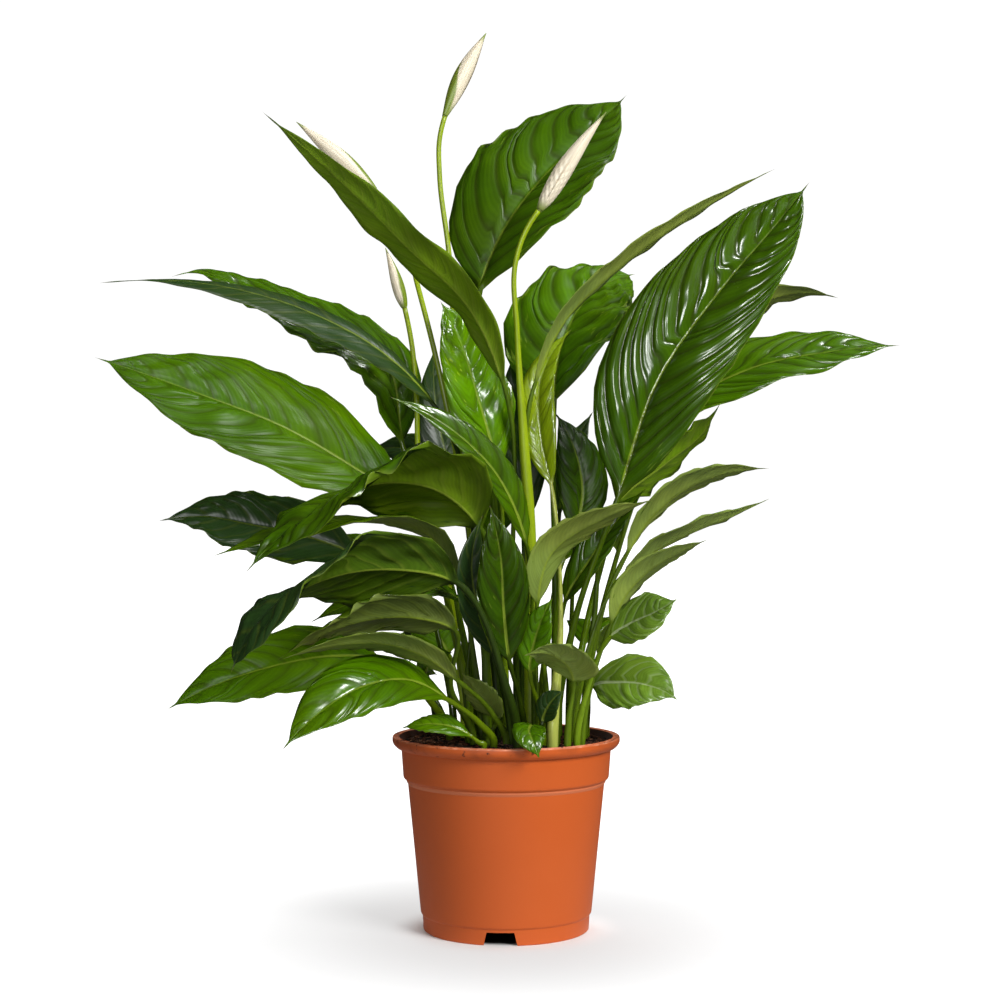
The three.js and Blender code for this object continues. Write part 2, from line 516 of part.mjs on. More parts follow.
function flowerStalkGeometry(flower) {
  const line = rootedLine(flower, flower.stalk);
  const end = line.marks[line.marks.length - 1];
  const face = vector(FLOWER_FACE);
  const rings = Array.from({ length: STALK_STEPS + 1 }, (_, j) => {
    const distance = end * j / STALK_STEPS;
    const { across, out } = crossAxes(line, distance, face);
    const u = j / STALK_STEPS;
    const thin = THREE.MathUtils.lerp(STALK_RADIUS, STALK_TOP, u);
    const radius = thin * sheathed(flower, FLOWER_SHEATH, u);
    return ringAround(line.at(distance), across, out, radius, STALK_SIDES);
  });
  return skin(rings, centreOf(rings[rings.length - 1]));
}

// The white leaf is still rolled round its spike: a long bud, fullest below the
// middle, drawn out to a point.
function hoodGeometry(flower) {
  const line = new Line(flower.hood.map(vector));
  const end = line.marks[line.marks.length - 1];
  const face = vector(FLOWER_FACE);
  const rings = Array.from({ length: HOOD_RINGS }, (_, j) => {
    const t = HOOD_KEPT * j / (HOOD_RINGS - 1);
    const { across, out } = crossAxes(line, t * end, face);
    const full = Math.sin(Math.PI * t ** HOOD_LEAN) ** HOOD_FULLNESS;
    const radius = STALK_TOP + 0.5 * flower.girth * full - STALK_TOP * t;
    return ringAround(line.at(t * end), across, out, radius, HOOD_SIDES);
  });
  return skin(rings, line.at(end));
}

function solidOf(geometry) {
  const bare = geometry.clone();
  bare.deleteAttribute("normal");
  bare.deleteAttribute("uv");
  const merged = mergeVertices(bare, 1e-3);
  const vertProperties = new Float32Array(merged.attributes.position.array);
  const triVerts = new Uint32Array(merged.index.array);
  return new wasm.Manifold(new wasm.Mesh({ numProp: 3, vertProperties, triVerts }));
}

function geometryFrom(solid) {
  const mesh = solid.getMesh();
  const geometry = new THREE.BufferGeometry();
  geometry.setAttribute("position", new THREE.BufferAttribute(mesh.vertProperties, 3));
  geometry.setIndex(new THREE.BufferAttribute(mesh.triVerts, 1));
  geometry.computeVertexNormals();
  return geometry;
}

function revolve(profile, sides) {
  const geometry = new THREE.LatheGeometry(profile.map(([r, z]) => new THREE.Vector2(r, z)), sides);
  return geometry.rotateX(Math.PI / 2);
}

function innerRadius(z) {
  if (z > COLLAR_BOTTOM) {
    const up = (z - COLLAR_BOTTOM) / (POT_HEIGHT - COLLAR_BOTTOM);
    return THREE.MathUtils.lerp(COLLAR_FOOT_RADIUS, COLLAR_TOP_RADIUS, up) - WALL;
  }
  const up = (z - FOOT_HEIGHT) / (COLLAR_BOTTOM - FOOT_HEIGHT);
  return THREE.MathUtils.lerp(BODY_FOOT_RADIUS, BODY_TOP_RADIUS, up) - WALL;
}

// The pot's wall in section: foot ring, raised base, tapered body, stepped
// collar and the rolled rim.
function potSection() {
  const underRim = POT_HEIGHT - RIM_DEPTH;
  const outside = [
    [0, BASE_PLATE - BASE_PLATE_THICKNESS],
    [FOOT_RADIUS - FOOT_RING, BASE_PLATE - BASE_PLATE_THICKNESS],
    [FOOT_RADIUS - FOOT_RING, 0],
    [FOOT_RADIUS, 0],
    [FOOT_RADIUS, FOOT_HEIGHT - STEP_SLOPE],
    [BODY_FOOT_RADIUS, FOOT_HEIGHT + STEP_SLOPE],
    [BODY_TOP_RADIUS, COLLAR_BOTTOM - STEP_SLOPE],
    [COLLAR_FOOT_RADIUS, COLLAR_BOTTOM + STEP_SLOPE],
    [COLLAR_TOP_RADIUS, underRim],
    [RIM_RADIUS - RIM_ROUNDING, underRim],
    [RIM_RADIUS, underRim + RIM_ROUNDING],
    [RIM_RADIUS, POT_HEIGHT - RIM_ROUNDING],
    [RIM_RADIUS - RIM_ROUNDING, POT_HEIGHT],
  ];
  const inside = [
    [RIM_RADIUS - RIM_WIDTH, POT_HEIGHT],
    [innerRadius(underRim), underRim],
    [innerRadius(COLLAR_BOTTOM + STEP_INSIDE), COLLAR_BOTTOM + STEP_INSIDE],
    [innerRadius(COLLAR_BOTTOM), COLLAR_BOTTOM],
    [innerRadius(BASE_PLATE + BASE_CORNER), BASE_PLATE + BASE_CORNER],
    [innerRadius(BASE_PLATE) - BASE_CORNER, BASE_PLATE],
    [0, BASE_PLATE],
  ];
  return [...outside, ...inside];
}

// A notch in the foot ring, wider at the floor than at its top.
function notchGeometry(turn) {
  const low = NOTCH_WIDTH / 2;
  const high = low - NOTCH_TAPER;
  const shape = new THREE.Shape();
  shape.moveTo(-low, -1);
  shape.lineTo(low, -1);
  shape.lineTo(high, NOTCH_HEIGHT);
  shape.lineTo(-high, NOTCH_HEIGHT);
  shape.closePath();
  const notch = new THREE.ExtrudeGeometry(shape, { depth: CUT_LENGTH, bevelEnabled: false });
  notch.rotateX(Math.PI / 2);
  notch.translate(0, FOOT_RADIUS + CUT_LENGTH / 2, 0);
  return notch.rotateZ(turn - Math.PI / 2);
}

function drainGeometry(turn) {
  const drain = new THREE.CylinderGeometry(DRAIN_RADIUS, DRAIN_RADIUS, CUT_LENGTH, DRAIN_SIDES);
  drain.rotateX(Math.PI / 2);
  return drain.translate(DRAIN_CIRCLE * Math.cos(turn), DRAIN_CIRCLE * Math.sin(turn), BASE_PLATE);
}

function potGeometry() {
  let pot = solidOf(revolve(potSection(), POT_SIDES));
  for (let i = 0; i < NOTCH_COUNT; i += 1) {
    const turn = THREE.MathUtils.degToRad(NOTCH_TURN + 360 * i / NOTCH_COUNT);
    pot = pot.subtract(solidOf(notchGeometry(turn)));
  }
  for (let i = 0; i < DRAIN_COUNT; i += 1) {
    pot = pot.subtract(solidOf(drainGeometry(2 * Math.PI * i / DRAIN_COUNT)));
  }
  return geometryFrom(pot);
}

// The height of the peat: a low mound with lumps, level at the pot's wall.
function soilHeight(x, y) {
  const edge = innerRadius(SOIL_LEVEL) - SOIL_GAP;
  const inward = 1 - (Math.hypot(x, y) / edge) ** 2;
  const [a, b, c, d] = LUMP_TURNS;
  const lumps = Math.sin(a * x + 1) * Math.cos(b * y) + 0.6 * Math.sin(c * y - d * x);
  return SOIL_LEVEL + inward * (SOIL_MOUND + LUMP_HEIGHT * lumps);
}

function soilBody() {
  const edge = innerRadius(SOIL_LEVEL) - SOIL_GAP;
  const floor = BASE_PLATE + SOIL_GAP;
  const rings = [circle(innerRadius(BASE_PLATE) - BASE_CORNER - SOIL_GAP, () => floor)];
  rings.push(circle(innerRadius(floor) - SOIL_GAP, () => floor + BASE_CORNER));
  rings.push(circle(innerRadius(COLLAR_BOTTOM) - SOIL_GAP, () => COLLAR_BOTTOM));
  const step = COLLAR_BOTTOM + STEP_INSIDE;
  rings.push(circle(innerRadius(step) - SOIL_GAP, () => step + 1));
  for (let i = SOIL_RINGS; i > 0; i -= 1) {
    rings.push(circle(edge * i / SOIL_RINGS, soilHeight));
  }
  return skin(rings, new THREE.Vector3(0, 0, soilHeight(0, 0)));
}

function circle(radius, height) {
  return Array.from({ length: SOIL_SIDES }, (_, i) => {
    const turn = -2 * Math.PI * i / SOIL_SIDES;
    const x = radius * Math.cos(turn);
    const y = radius * Math.sin(turn);
    return new THREE.Vector3(x, y, height(x, y));
  });
}

function soilGeometry() {
  let soil = solidOf(soilBody());
  const corner = Math.cos(Math.PI / HOLE_SIDES);
  for (const leaf of LEAVES) {
    const radius = (stalkRadius(leaf, 0) + HOLE_GAP) / corner;
    soil = soil.subtract(solidOf(holeGeometry(leaf.foot, radius)));
  }
  for (const flower of FLOWERS) {
    const stalk = STALK_RADIUS * sheathed(flower, FLOWER_SHEATH, 0);
    const radius = (stalk + HOLE_GAP) / corner;
    soil = soil.subtract(solidOf(holeGeometry(flower.foot, radius)));
  }
  return geometryFrom(soil);
}

function addPart(group, name, geometry, material) {
  const mesh = new THREE.Mesh(geometry, material);
  mesh.name = name;
  group.add(mesh);
}

const plant = new THREE.Group();
addPart(plant, "pot", potGeometry(), PLASTIC);
addPart(plant, "soil", soilGeometry(), PEAT);
for (const leaf of LEAVES) {
  addPart(plant, leaf.name, leafGeometry(leaf), leaf.paint);
}
for (const flower of FLOWERS) {
  addPart(plant, `${flower.name}_stalk`, flowerStalkGeometry(flower), STALK_GREEN);
  addPart(plant, `${flower.name}_hood`, hoodGeometry(flower), CREAM);
}

export default plant;
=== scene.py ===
"""A potted peace lily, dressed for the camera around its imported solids.

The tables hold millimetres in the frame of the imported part: +Z up along the pot's
axis and -Y towards the camera. The meshes are made in metres. Each leaf follows the
same line, width and folds as its solid, and adds its veins and its rippled edge.
"""
import logging
import math
import random
from dataclasses import dataclass, field
from enum import Enum
from typing import Iterable, Sequence

import bpy
import numpy as np
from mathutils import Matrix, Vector


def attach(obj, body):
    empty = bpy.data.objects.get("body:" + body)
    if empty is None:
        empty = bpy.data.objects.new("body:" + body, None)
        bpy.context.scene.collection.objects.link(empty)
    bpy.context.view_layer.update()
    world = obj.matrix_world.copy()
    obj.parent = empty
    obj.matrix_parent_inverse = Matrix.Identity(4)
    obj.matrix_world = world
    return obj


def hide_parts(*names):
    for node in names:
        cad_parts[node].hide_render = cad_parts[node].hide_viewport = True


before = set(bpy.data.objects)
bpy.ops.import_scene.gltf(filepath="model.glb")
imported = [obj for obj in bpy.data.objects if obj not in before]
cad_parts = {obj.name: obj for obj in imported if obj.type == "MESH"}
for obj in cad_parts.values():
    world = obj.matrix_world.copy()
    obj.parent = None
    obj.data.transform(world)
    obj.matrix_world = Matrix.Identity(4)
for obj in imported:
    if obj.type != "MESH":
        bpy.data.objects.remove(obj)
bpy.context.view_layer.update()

logging.basicConfig(level=logging.INFO, format="%(message)s")
LOG = logging.getLogger("peace_lily")

Point = tuple[float, float, float]
Colour = tuple[float, float, float]
MM = 0.001
WELD = 1e-5  # metres
BLACK = (0.0, 0.0, 0.0)

# The pot's driving sizes, as in its solid.
POT_HEIGHT = 144.0
RIM_RADIUS = 85.0
RIM_DEPTH = 8.2
RIM_WIDTH = 5.4
COLLAR_TOP_RADIUS = 78.4
COLLAR_FOOT_RADIUS = 76.8
COLLAR_BOTTOM = 112.0
BODY_TOP_RADIUS = 73.6
BODY_FOOT_RADIUS = 63.8
FOOT_RADIUS = 61.8
FOOT_HEIGHT = 12.0
FOOT_RING = 2.2
WALL = 2.0
BASE_PLATE = 12.6
BASE_PLATE_THICKNESS = 2.4
SOIL_LEVEL = 140.0

# How a stalk leaves the peat, as in its solid.
ROOTED = 14.0
STRAIGHT_ABOVE = 4.0
LEAN = 0.3


def srgb(red: int, green: int, blue: int) -> Colour:
    """The linear colour of three sRGB bytes."""
    shares = [value / 255 for value in (red, green, blue)]
    return tuple(s / 12.92 if s < 0.04045 else ((s + 0.055) / 1.055) ** 2.4 for s in shares)


def ease(low: float, high: float, value: np.ndarray) -> np.ndarray:
    """A smooth step from 0 at low to 1 at high."""
    share = np.clip((value - low) / (high - low), 0.0, 1.0)
    return share * share * (3 - 2 * share)


def lerp(a: np.ndarray, b: np.ndarray, share: np.ndarray) -> np.ndarray:
    """A straight mix of a and b."""
    return a + (b - a) * share


class Tone(Enum):
    """The greens that the leaves come in."""

    DEEP = "deep"
    DARK = "dark"
    BRIGHT = "bright"
    OLIVE = "olive"
    PALE = "pale"
    YOUNG = "young"


# ---------------------------------------------------------------- shader nodes


class Signal:
    """A node's output that can be used in Python arithmetic."""

    def __init__(self, bench: "NodeBench", socket: bpy.types.NodeSocket) -> None:
        """Keeps the socket and the node bench that it is on."""
        self.bench = bench
        self.socket = socket

    def __add__(self, other: "Signal | float") -> "Signal":
        """self + other."""
        return self.bench.maths("ADD", self, other)

    def __radd__(self, other: float) -> "Signal":
        """other + self."""
        return self.bench.maths("ADD", other, self)

    def __sub__(self, other: "Signal | float") -> "Signal":
        """self - other."""
        return self.bench.maths("SUBTRACT", self, other)

    def __rsub__(self, other: float) -> "Signal":
        """other - self."""
        return self.bench.maths("SUBTRACT", other, self)

    def __mul__(self, other: "Signal | float") -> "Signal":
        """self * other."""
        return self.bench.maths("MULTIPLY", self, other)

    def __rmul__(self, other: float) -> "Signal":
        """other * self."""
        return self.bench.maths("MULTIPLY", other, self)

    def __pow__(self, other: float) -> "Signal":
        """self to a power."""
        return self.bench.maths("POWER", self, other)

    def __abs__(self) -> "Signal":
        """The signal without its sign."""
        return self.bench.maths("ABSOLUTE", self)


class NodeBench:
    """Builds one material's nodes."""

    def __init__(self, name: str) -> None:
        """Starts a material with only its output node.

        Args:
            name: The material's name.
        """
        self.material = bpy.data.materials.new(name)
        self.material.use_nodes = True
        self.tree = self.material.node_tree
        self.tree.nodes.clear()
        self.output = self.tree.nodes.new("ShaderNodeOutputMaterial")

    def node(self, kind: str, settings: dict | None = None,
             inputs: dict | None = None) -> bpy.types.Node:
        """Adds a node.

        Args:
            kind: The node's type.
            settings: Its own properties, set first.
            inputs: Values or signals by socket name or number.

        Returns:
            The new node.
        """
        made = self.tree.nodes.new(kind)
        for key, value in (settings or {}).items():
            setattr(made, key, value)
        for key, value in (inputs or {}).items():
            if isinstance(value, Signal):
                self.tree.links.new(value.socket, made.inputs[key])
            elif isinstance(value, tuple) and made.inputs[key].type == "RGBA":
                made.inputs[key].default_value = (*value, 1.0)
            else:
                made.inputs[key].default_value = value
        return made

    def signal(self, node: bpy.types.Node, output: str | int = 0) -> Signal:
        """One output of a node, ready for arithmetic."""
        return Signal(self, node.outputs[output])

    def maths(self, operation: str, *values: "Signal | float") -> Signal:
        """A Math node on signals and numbers."""
        inputs = dict(enumerate(values))
        return self.signal(self.node("ShaderNodeMath", {"operation": operation}, inputs))

    def step(self, value: Signal, low: float, high: float) -> Signal:
        """A smooth step from 0 at low to 1 at high."""
        settings = {"interpolation_type": "SMOOTHSTEP"}
        inputs = {"Value": value, "From Min": low, "From Max": high}
        return self.signal(self.node("ShaderNodeMapRange", settings, inputs))

    def past(self, value: Signal, span: tuple[float, float]) -> Signal:
        """A smooth step from 0 to 1 across a span in millimetres."""
        return self.step(value, span[0] * MM, span[1] * MM)

    def short_of(self, value: Signal, span: tuple[float, float]) -> Signal:
        """A smooth step from 1 to 0 across a span in millimetres."""
        return 1.0 - self.past(value, span)

    def mix(self, share: Signal | float, a: Signal | Colour, b: Signal | Colour) -> Signal:
        """A mix of two colours."""
        node = self.node("ShaderNodeMix", {"data_type": "RGBA"}, {0: share, 6: a, 7: b})
        return self.signal(node, 2)

    def tint(self, colour: Signal | Colour, by: Signal) -> Signal:
        """A colour made lighter or darker by a number."""
        inputs = {0: colour, "Scale": by}
        return self.signal(self.node("ShaderNodeVectorMath", {"operation": "SCALE"}, inputs))

    def place(self) -> Signal:
        """The point in the part's own frame, in metres."""
        return self.signal(self.node("ShaderNodeTexCoord"), "Object")

    def noise(self, scale: float, detail: float = 3.0, vector: Signal | None = None) -> Signal:
        """Soft noise from 0 to 1 with so many features to the metre."""
        inputs = {"Vector": vector or self.place(), "Scale": scale, "Detail": detail}
        return self.signal(self.node("ShaderNodeTexNoise", inputs=inputs), "Fac")

    def vector(self, *numbers: "Signal | float") -> Signal:
        """A vector of three numbers."""
        return self.signal(self.node("ShaderNodeCombineXYZ", inputs=dict(enumerate(numbers))))

    def split(self, vector: Signal) -> tuple[Signal, Signal, Signal]:
        """The three numbers of a vector."""
        node = self.node("ShaderNodeSeparateXYZ", inputs={0: vector})
        return self.signal(node, 0), self.signal(node, 1), self.signal(node, 2)

    def attribute(self, name: str) -> tuple[Signal, Signal, Signal]:
        """The three numbers of a mesh attribute."""
        node = self.node("ShaderNodeAttribute", {"attribute_name": name})
        return self.split(self.signal(node, "Vector"))

    def uv(self, name: str) -> tuple[Signal, Signal, Signal]:
        """The numbers of a UV map."""
        return self.split(self.signal(self.node("ShaderNodeUVMap", {"uv_map": name}), "UV"))

    def bump(self, height: Signal, depth: float) -> Signal:
        """A bumped normal from a height of 0 to 1 and its depth in metres."""
        inputs = {"Height": height, "Distance": depth}
        return self.signal(self.node("ShaderNodeBump", inputs=inputs))

    def surface(self, **inputs: "Signal | float | Colour") -> Signal:
        """A Principled shader, its inputs named with underscores for spaces."""
        named_inputs = {key.replace("_", " "): value for key, value in inputs.items()}
        return self.signal(self.node("ShaderNodeBsdfPrincipled", inputs=named_inputs))

    def through(self, colour: Colour) -> Signal:
        """A shader for the light that comes through a thin sheet, the same all over."""
        return self.signal(self.node("ShaderNodeBsdfTranslucent", inputs={"Color": colour}))

    def blend(self, share: Signal | float, first: Signal, second: Signal) -> Signal:
        """A mix of two shaders, by the share of the second."""
        inputs = {0: share, 1: first, 2: second}
        return self.signal(self.node("ShaderNodeMixShader", inputs=inputs))

    def finish(self, shader: Signal) -> bpy.types.Material:
        """Joins the shader to the output and hands the material over."""
        self.tree.links.new(shader.socket, self.output.inputs["Surface"])
        return self.material


# -------------------------------------------------------------------- finishes


@dataclass(frozen=True)
class Sheen:
    """How a leaf's face takes the light."""

    roughness: float
    shine: float
    coat: float = 0.0


@dataclass(frozen=True)
class BladeFinish:
    """One face of a leaf, with the stalk below it.

    Its mesh carries grow (blade rather than stalk, share of the length, share of the
    half width), shade (how light the leaf is, partly its own green and partly painted
    light and shade for how brightly it is lit) and a UV map of veins passed and
    centimetres from the midrib. vein_share is how far the side veins take the vein's
    colour, groove how dark the painted shade in the sunken side veins is, band how much
    painted shade lies next to them and painted light on the puffs between them, and
    patchy how far patches of it turn warmer. behind is the colour of the light that comes
    through, and glow its share. BRIGHTEST is more than any tone, so that a tone over it
    is a share. The scales count features to the metre.
    """

    name: str
    flesh: Colour
    vein: Colour
    stalk: Colour
    behind: Colour
    sheen: Sheen
    vein_share: float
    painted_puff_shading: float
    painted_vein_shadow: float = 0.0
    patchy: float = 0.6
    glow: float = 0.22
    dry: Colour = srgb(96, 78, 46)

    WARMER = (1.6, 1.3, 0.9)
    FINE_LINES = 5
    BRIGHTEST = 4.0
    COAT_ROUGHNESS = 0.12
    MOTTLE_SCALE = 24.0
    PATCH_SCALE = 11.0
    PORE_SCALE = 150.0
    SHEEN_SCALE = 60.0
    STRAND_SCALE = 420.0
    STRAND_LENGTH_SCALE = 9.0
    BUMP = 0.0002

    def material(self) -> bpy.types.Material:
        """The finished material."""
        bench = NodeBench(self.name)
        blade, along, out = bench.attribute("grow")
        shade, _, _ = bench.attribute("shade")
        passed, aside, _ = bench.uv("veins")
        mottle = bench.noise(self.MOTTLE_SCALE, 4.0)

        # Veins, the midrib, the rim of the blade, and painted light and shade on the puffs between
        # veins.
        near = abs(bench.maths("FRACT", passed + 0.5) - 0.5)
        vein = 1.0 - bench.step(near, 0.0, 0.16)
        fine = bench.maths("SINE", passed * (2 * math.pi * self.FINE_LINES)) * 0.5 + 0.5
        rib_width = 0.14 - along * 0.11
        rib = (1.0 - bench.step(aside - rib_width, -0.05, 0.02)) * blade
        edge = bench.step(out, 0.975, 1.0)
        # Painted shade in and next to the sunken side veins, and painted light on the puffs between
        # them.
        puff_lit_and_shaded = (near - 0.25) * blade * self.painted_puff_shading + 1.0
        sunken = (1.0 - vein * blade * self.painted_vein_shadow) * puff_lit_and_shaded
        # shade scales the whole leaf: partly its own green, partly painted light and shade for how
        # brightly the leaf is lit.
        tone = (mottle * 0.9 + 0.55) * (fine * 0.14 + 0.93) * shade * sunken

        warm = tuple(c * k for c, k in zip(self.flesh, self.WARMER))
        patches = bench.step(bench.noise(self.PATCH_SCALE, 3.0), 0.42, 0.68)
        flesh = bench.tint(bench.mix(patches * self.patchy, self.flesh, warm), tone)
        veined = bench.mix(vein * self.vein_share + edge * 0.3, flesh, self.vein)
        ribbed = bench.mix(rib * (0.85 - along * 0.6), veined, self.vein)
        dry = bench.mix(bench.step(along, 0.968, 0.995) * 0.8, ribbed, self.dry)
        unfurled = bench.step(blade, 0.25, 0.9)
        relief = fine * 0.25 + bench.noise(self.PORE_SCALE, 1.0) * 0.3 - vein * 0.3
        even = blade * (1.0 - bench.step(along, 0.5, 0.85))
        skin = bench.surface(
            Base_Color=bench.mix(unfurled, self.stalk_green(bench, mottle, shade), dry),
            Roughness=bench.noise(self.SHEEN_SCALE) * 0.14 + (self.sheen.roughness - 0.07),
            Specular_IOR_Level=self.sheen.shine, Coat_Weight=self.sheen.coat,
            Coat_Roughness=self.COAT_ROUGHNESS, Normal=bench.bump(relief * even, self.BUMP),
        )
        lit = bench.through(tuple(c * self.BRIGHTEST for c in self.behind))
        behind = bench.blend(tone * unfurled * (1 / self.BRIGHTEST), bench.through(BLACK), lit)
        return bench.finish(bench.blend(self.glow, skin, behind))

    def stalk_green(self, bench: NodeBench, mottle: Signal, shade: Signal) -> Signal:
        """The stalk's colour, with fine strands up its length."""
        x, y, z = bench.split(bench.place())
        across, along = self.STRAND_SCALE, self.STRAND_LENGTH_SCALE
        strands = bench.noise(1.0, 2.0, bench.vector(x * across, y * across, z * along))
        return bench.tint(self.stalk, (mottle * 0.4 + strands * 0.7 + 0.3) * shade)


@dataclass(frozen=True)
class HoodFinish:
    """The white leaf round the spike.

    Its mesh carries grow: how green, the share of the length, and the angle round it.
    """

    name: str = "hood_cream"
    cream: Colour = srgb(230, 220, 196)
    shade: Colour = srgb(196, 174, 142)
    green: Colour = srgb(112, 136, 10)
    glow: float = 0.12

    def material(self) -> bpy.types.Material:
        """The finished material."""
        bench = NodeBench(self.name)
        green, along, turn = bench.attribute("grow")
        lines = bench.vector(turn * 5.0, along * 1.6, 0.0)
        streaks = bench.noise(1.0, 4.0, lines)
        shaded = bench.step(streaks, 0.44, 0.72) * 0.75
        petal = bench.mix(shaded, self.cream, self.shade)
        colour = bench.mix(green, petal, bench.tint(self.green, streaks * 0.7 + 0.6))
        skin = bench.surface(
            Base_Color=colour, Roughness=0.5,
            Normal=bench.bump(bench.noise(0.5, 1.0, lines), 0.0003),
        )
        behind = bench.blend(shaded, bench.through(self.cream), bench.through(self.shade))
        return bench.finish(bench.blend(self.glow, skin, behind))


@dataclass(frozen=True)
class StalkFinish:
    """The fleshy green of a flower's stalk."""

    name: str = "stalk_green"
    low: Colour = srgb(128, 149, 10)
    high: Colour = srgb(126, 146, 10)

    TURNS_BETWEEN = (150, 550)

    def material(self) -> bpy.types.Material:
        """The finished material."""
        bench = NodeBench(self.name)
        _, _, z = bench.split(bench.place())
        colour = bench.mix(bench.past(z, self.TURNS_BETWEEN), self.low, self.high)
        streak = bench.noise(60.0, 3.0)
        skin = bench.surface(
            Base_Color=bench.tint(colour, streak * 0.5 + 0.85), Roughness=0.4,
            Specular_IOR_Level=0.3, Normal=bench.bump(bench.noise(30.0, 1.0), 0.0003),
        )
        return bench.finish(skin)


@dataclass(frozen=True)
class PlasticFinish:
    """Moulded terracotta-orange plastic, with peat dust at the rim and pale scuffs.

    The pale marks are scratched wear, with painted light on the lip and a painted
    reflection on the step below the collar. The spans say where dust, darkening, wear
    or painted light begins and where it is full, in millimetres of height, of distance
    from the axis, or of distance to the left or right. The scales count features to the
    metre.
    """

    name: str = "pot_plastic"
    orange: Colour = srgb(187, 84, 30)
    worn: Colour = srgb(196, 94, 44)
    # The dust colour also stands for the darker rim ends and inside, and for painted shade under
    # the base.
    dust: Colour = srgb(52, 26, 16)
    # The pale colour of scratched wear, and of painted light on the lip and a painted reflection
    # below the collar.
    scuff_and_painted_light: Colour = srgb(226, 158, 124)

    DUSTY_ABOVE = (134.5, 139.0)
    SIDES_BEYOND = (50.0, 85.0)
    SIDES_ABOVE = (136.0, 139.0)
    INSIDE_DARKER_WITHIN = (79.4, 80.3)
    INSIDE_DARKER_ABOVE = (136.5, 137.5)
    SHADED_WITHIN = (59.0, 60.5)
    SHADED_BELOW = (10.5, 12.5)
    LIP_ABOVE = (142.5, 143.3)
    LEDGE_REFLECTION_ABOVE = (108.2, 109.2)
    LEDGE_REFLECTION_BELOW = (111.2, 111.8)
    CLOUD_SCALE = 9.0
    GRAIN_SCALE = 1600.0
    SPECK_SCALE = 190.0
    SMEAR_SCALE = 45.0
    SCRATCH_SCALE = 130.0
    BUMP = 0.00004

    def material(self) -> bpy.types.Material:
        """The finished material."""
        bench = NodeBench(self.name)
        x, y, z = bench.split(bench.place())
        # Dust, a darker rim at its ends and inside, and painted shade under the base.
        dirt_and_painted_shade = self.dirt_and_painted_shade(bench, x, (x * x + y * y) ** 0.5, z)
        cloud = bench.noise(self.CLOUD_SCALE, 4.0)
        grain = bench.noise(self.GRAIN_SCALE, 2.0)
        plain = bench.mix(bench.step(cloud, 0.4, 0.8) * 0.35, self.orange, self.worn)
        # Pale scratched wear, painted light on the lip and a painted reflection below the collar.
        scuffed_and_lit = bench.mix(self.scuffs_and_painted_light(bench, z), plain, self.scuff_and_painted_light)
        skin = bench.surface(
            Base_Color=bench.mix(dirt_and_painted_shade, scuffed_and_lit, self.dust),
            Roughness=cloud * 0.14 + dirt_and_painted_shade * 0.3 + 0.42, Specular_IOR_Level=0.3,
            Normal=bench.bump(grain + dirt_and_painted_shade * 2.0, self.BUMP),
        )
        return bench.finish(skin)

    def dirt_and_painted_shade(self, bench: NodeBench, x: Signal, away: Signal, z: Signal) -> Signal:
        """Rim dust, mostly left and right, darker rim ends and inside, and painted shade below."""
        specks = bench.step(bench.noise(self.SPECK_SCALE, 5.0), 0.63, 0.7)
        smears = bench.step(bench.noise(self.SMEAR_SCALE, 5.0), 0.5, 0.75)
        rim = bench.past(z, self.DUSTY_ABOVE)
        # The rim is made darker at its left and right ends and on its inside above the peat.
        sides = bench.past(abs(x), self.SIDES_BEYOND) * bench.past(z, self.SIDES_ABOVE)
        inside = bench.short_of(away, self.INSIDE_DARKER_WITHIN) * bench.past(z, self.INSIDE_DARKER_ABOVE)
        # Painted shade: the underside within the foot ring is taken to the dark dust colour.
        under = bench.short_of(away, self.SHADED_WITHIN) * bench.short_of(z, self.SHADED_BELOW)
        dust = specks * rim * 0.8 + smears * rim * (sides * 0.7 + 0.35)
        return dust + sides * 0.25 + inside * 0.92 + under

    def scuffs_and_painted_light(self, bench: NodeBench, z: Signal) -> Signal:
        """Scratched wear and painted light on the lip, painted reflection on the step below."""
        # Scratched wear on the lip, and painted light that makes the whole lip paler.
        lip = bench.past(z, self.LIP_ABOVE)
        # Painted reflection: a pale line on the downward step below the collar.
        ledge_reflection = bench.past(z, self.LEDGE_REFLECTION_ABOVE) * bench.short_of(z, self.LEDGE_REFLECTION_BELOW)
        scratches = bench.step(bench.noise(self.SCRATCH_SCALE, 5.0), 0.5, 0.66)
        return scratches * lip * 0.5 + lip * 0.2 + ledge_reflection * 0.25


@dataclass(frozen=True)
class PeatFinish:
    """Damp peat: nearly black crumbs among brown ones."""

    name: str
    dark: Colour = srgb(14, 9, 6)
    brown: Colour = srgb(52, 32, 20)
    scale: float = 260.0

    def material(self) -> bpy.types.Material:
        """The finished material."""
        bench = NodeBench(self.name)
        patch = bench.noise(self.scale, 6.0)
        grain = bench.noise(self.scale * 4, 4.0)
        colour = bench.mix(bench.step(patch, 0.42, 0.7), self.dark, self.brown)
        skin = bench.surface(
            Base_Color=bench.tint(colour, grain + 0.5), Roughness=0.85, Specular_IOR_Level=0.15,
            Normal=bench.bump(patch + grain * 0.6, 0.0012),
        )
        return bench.finish(skin)


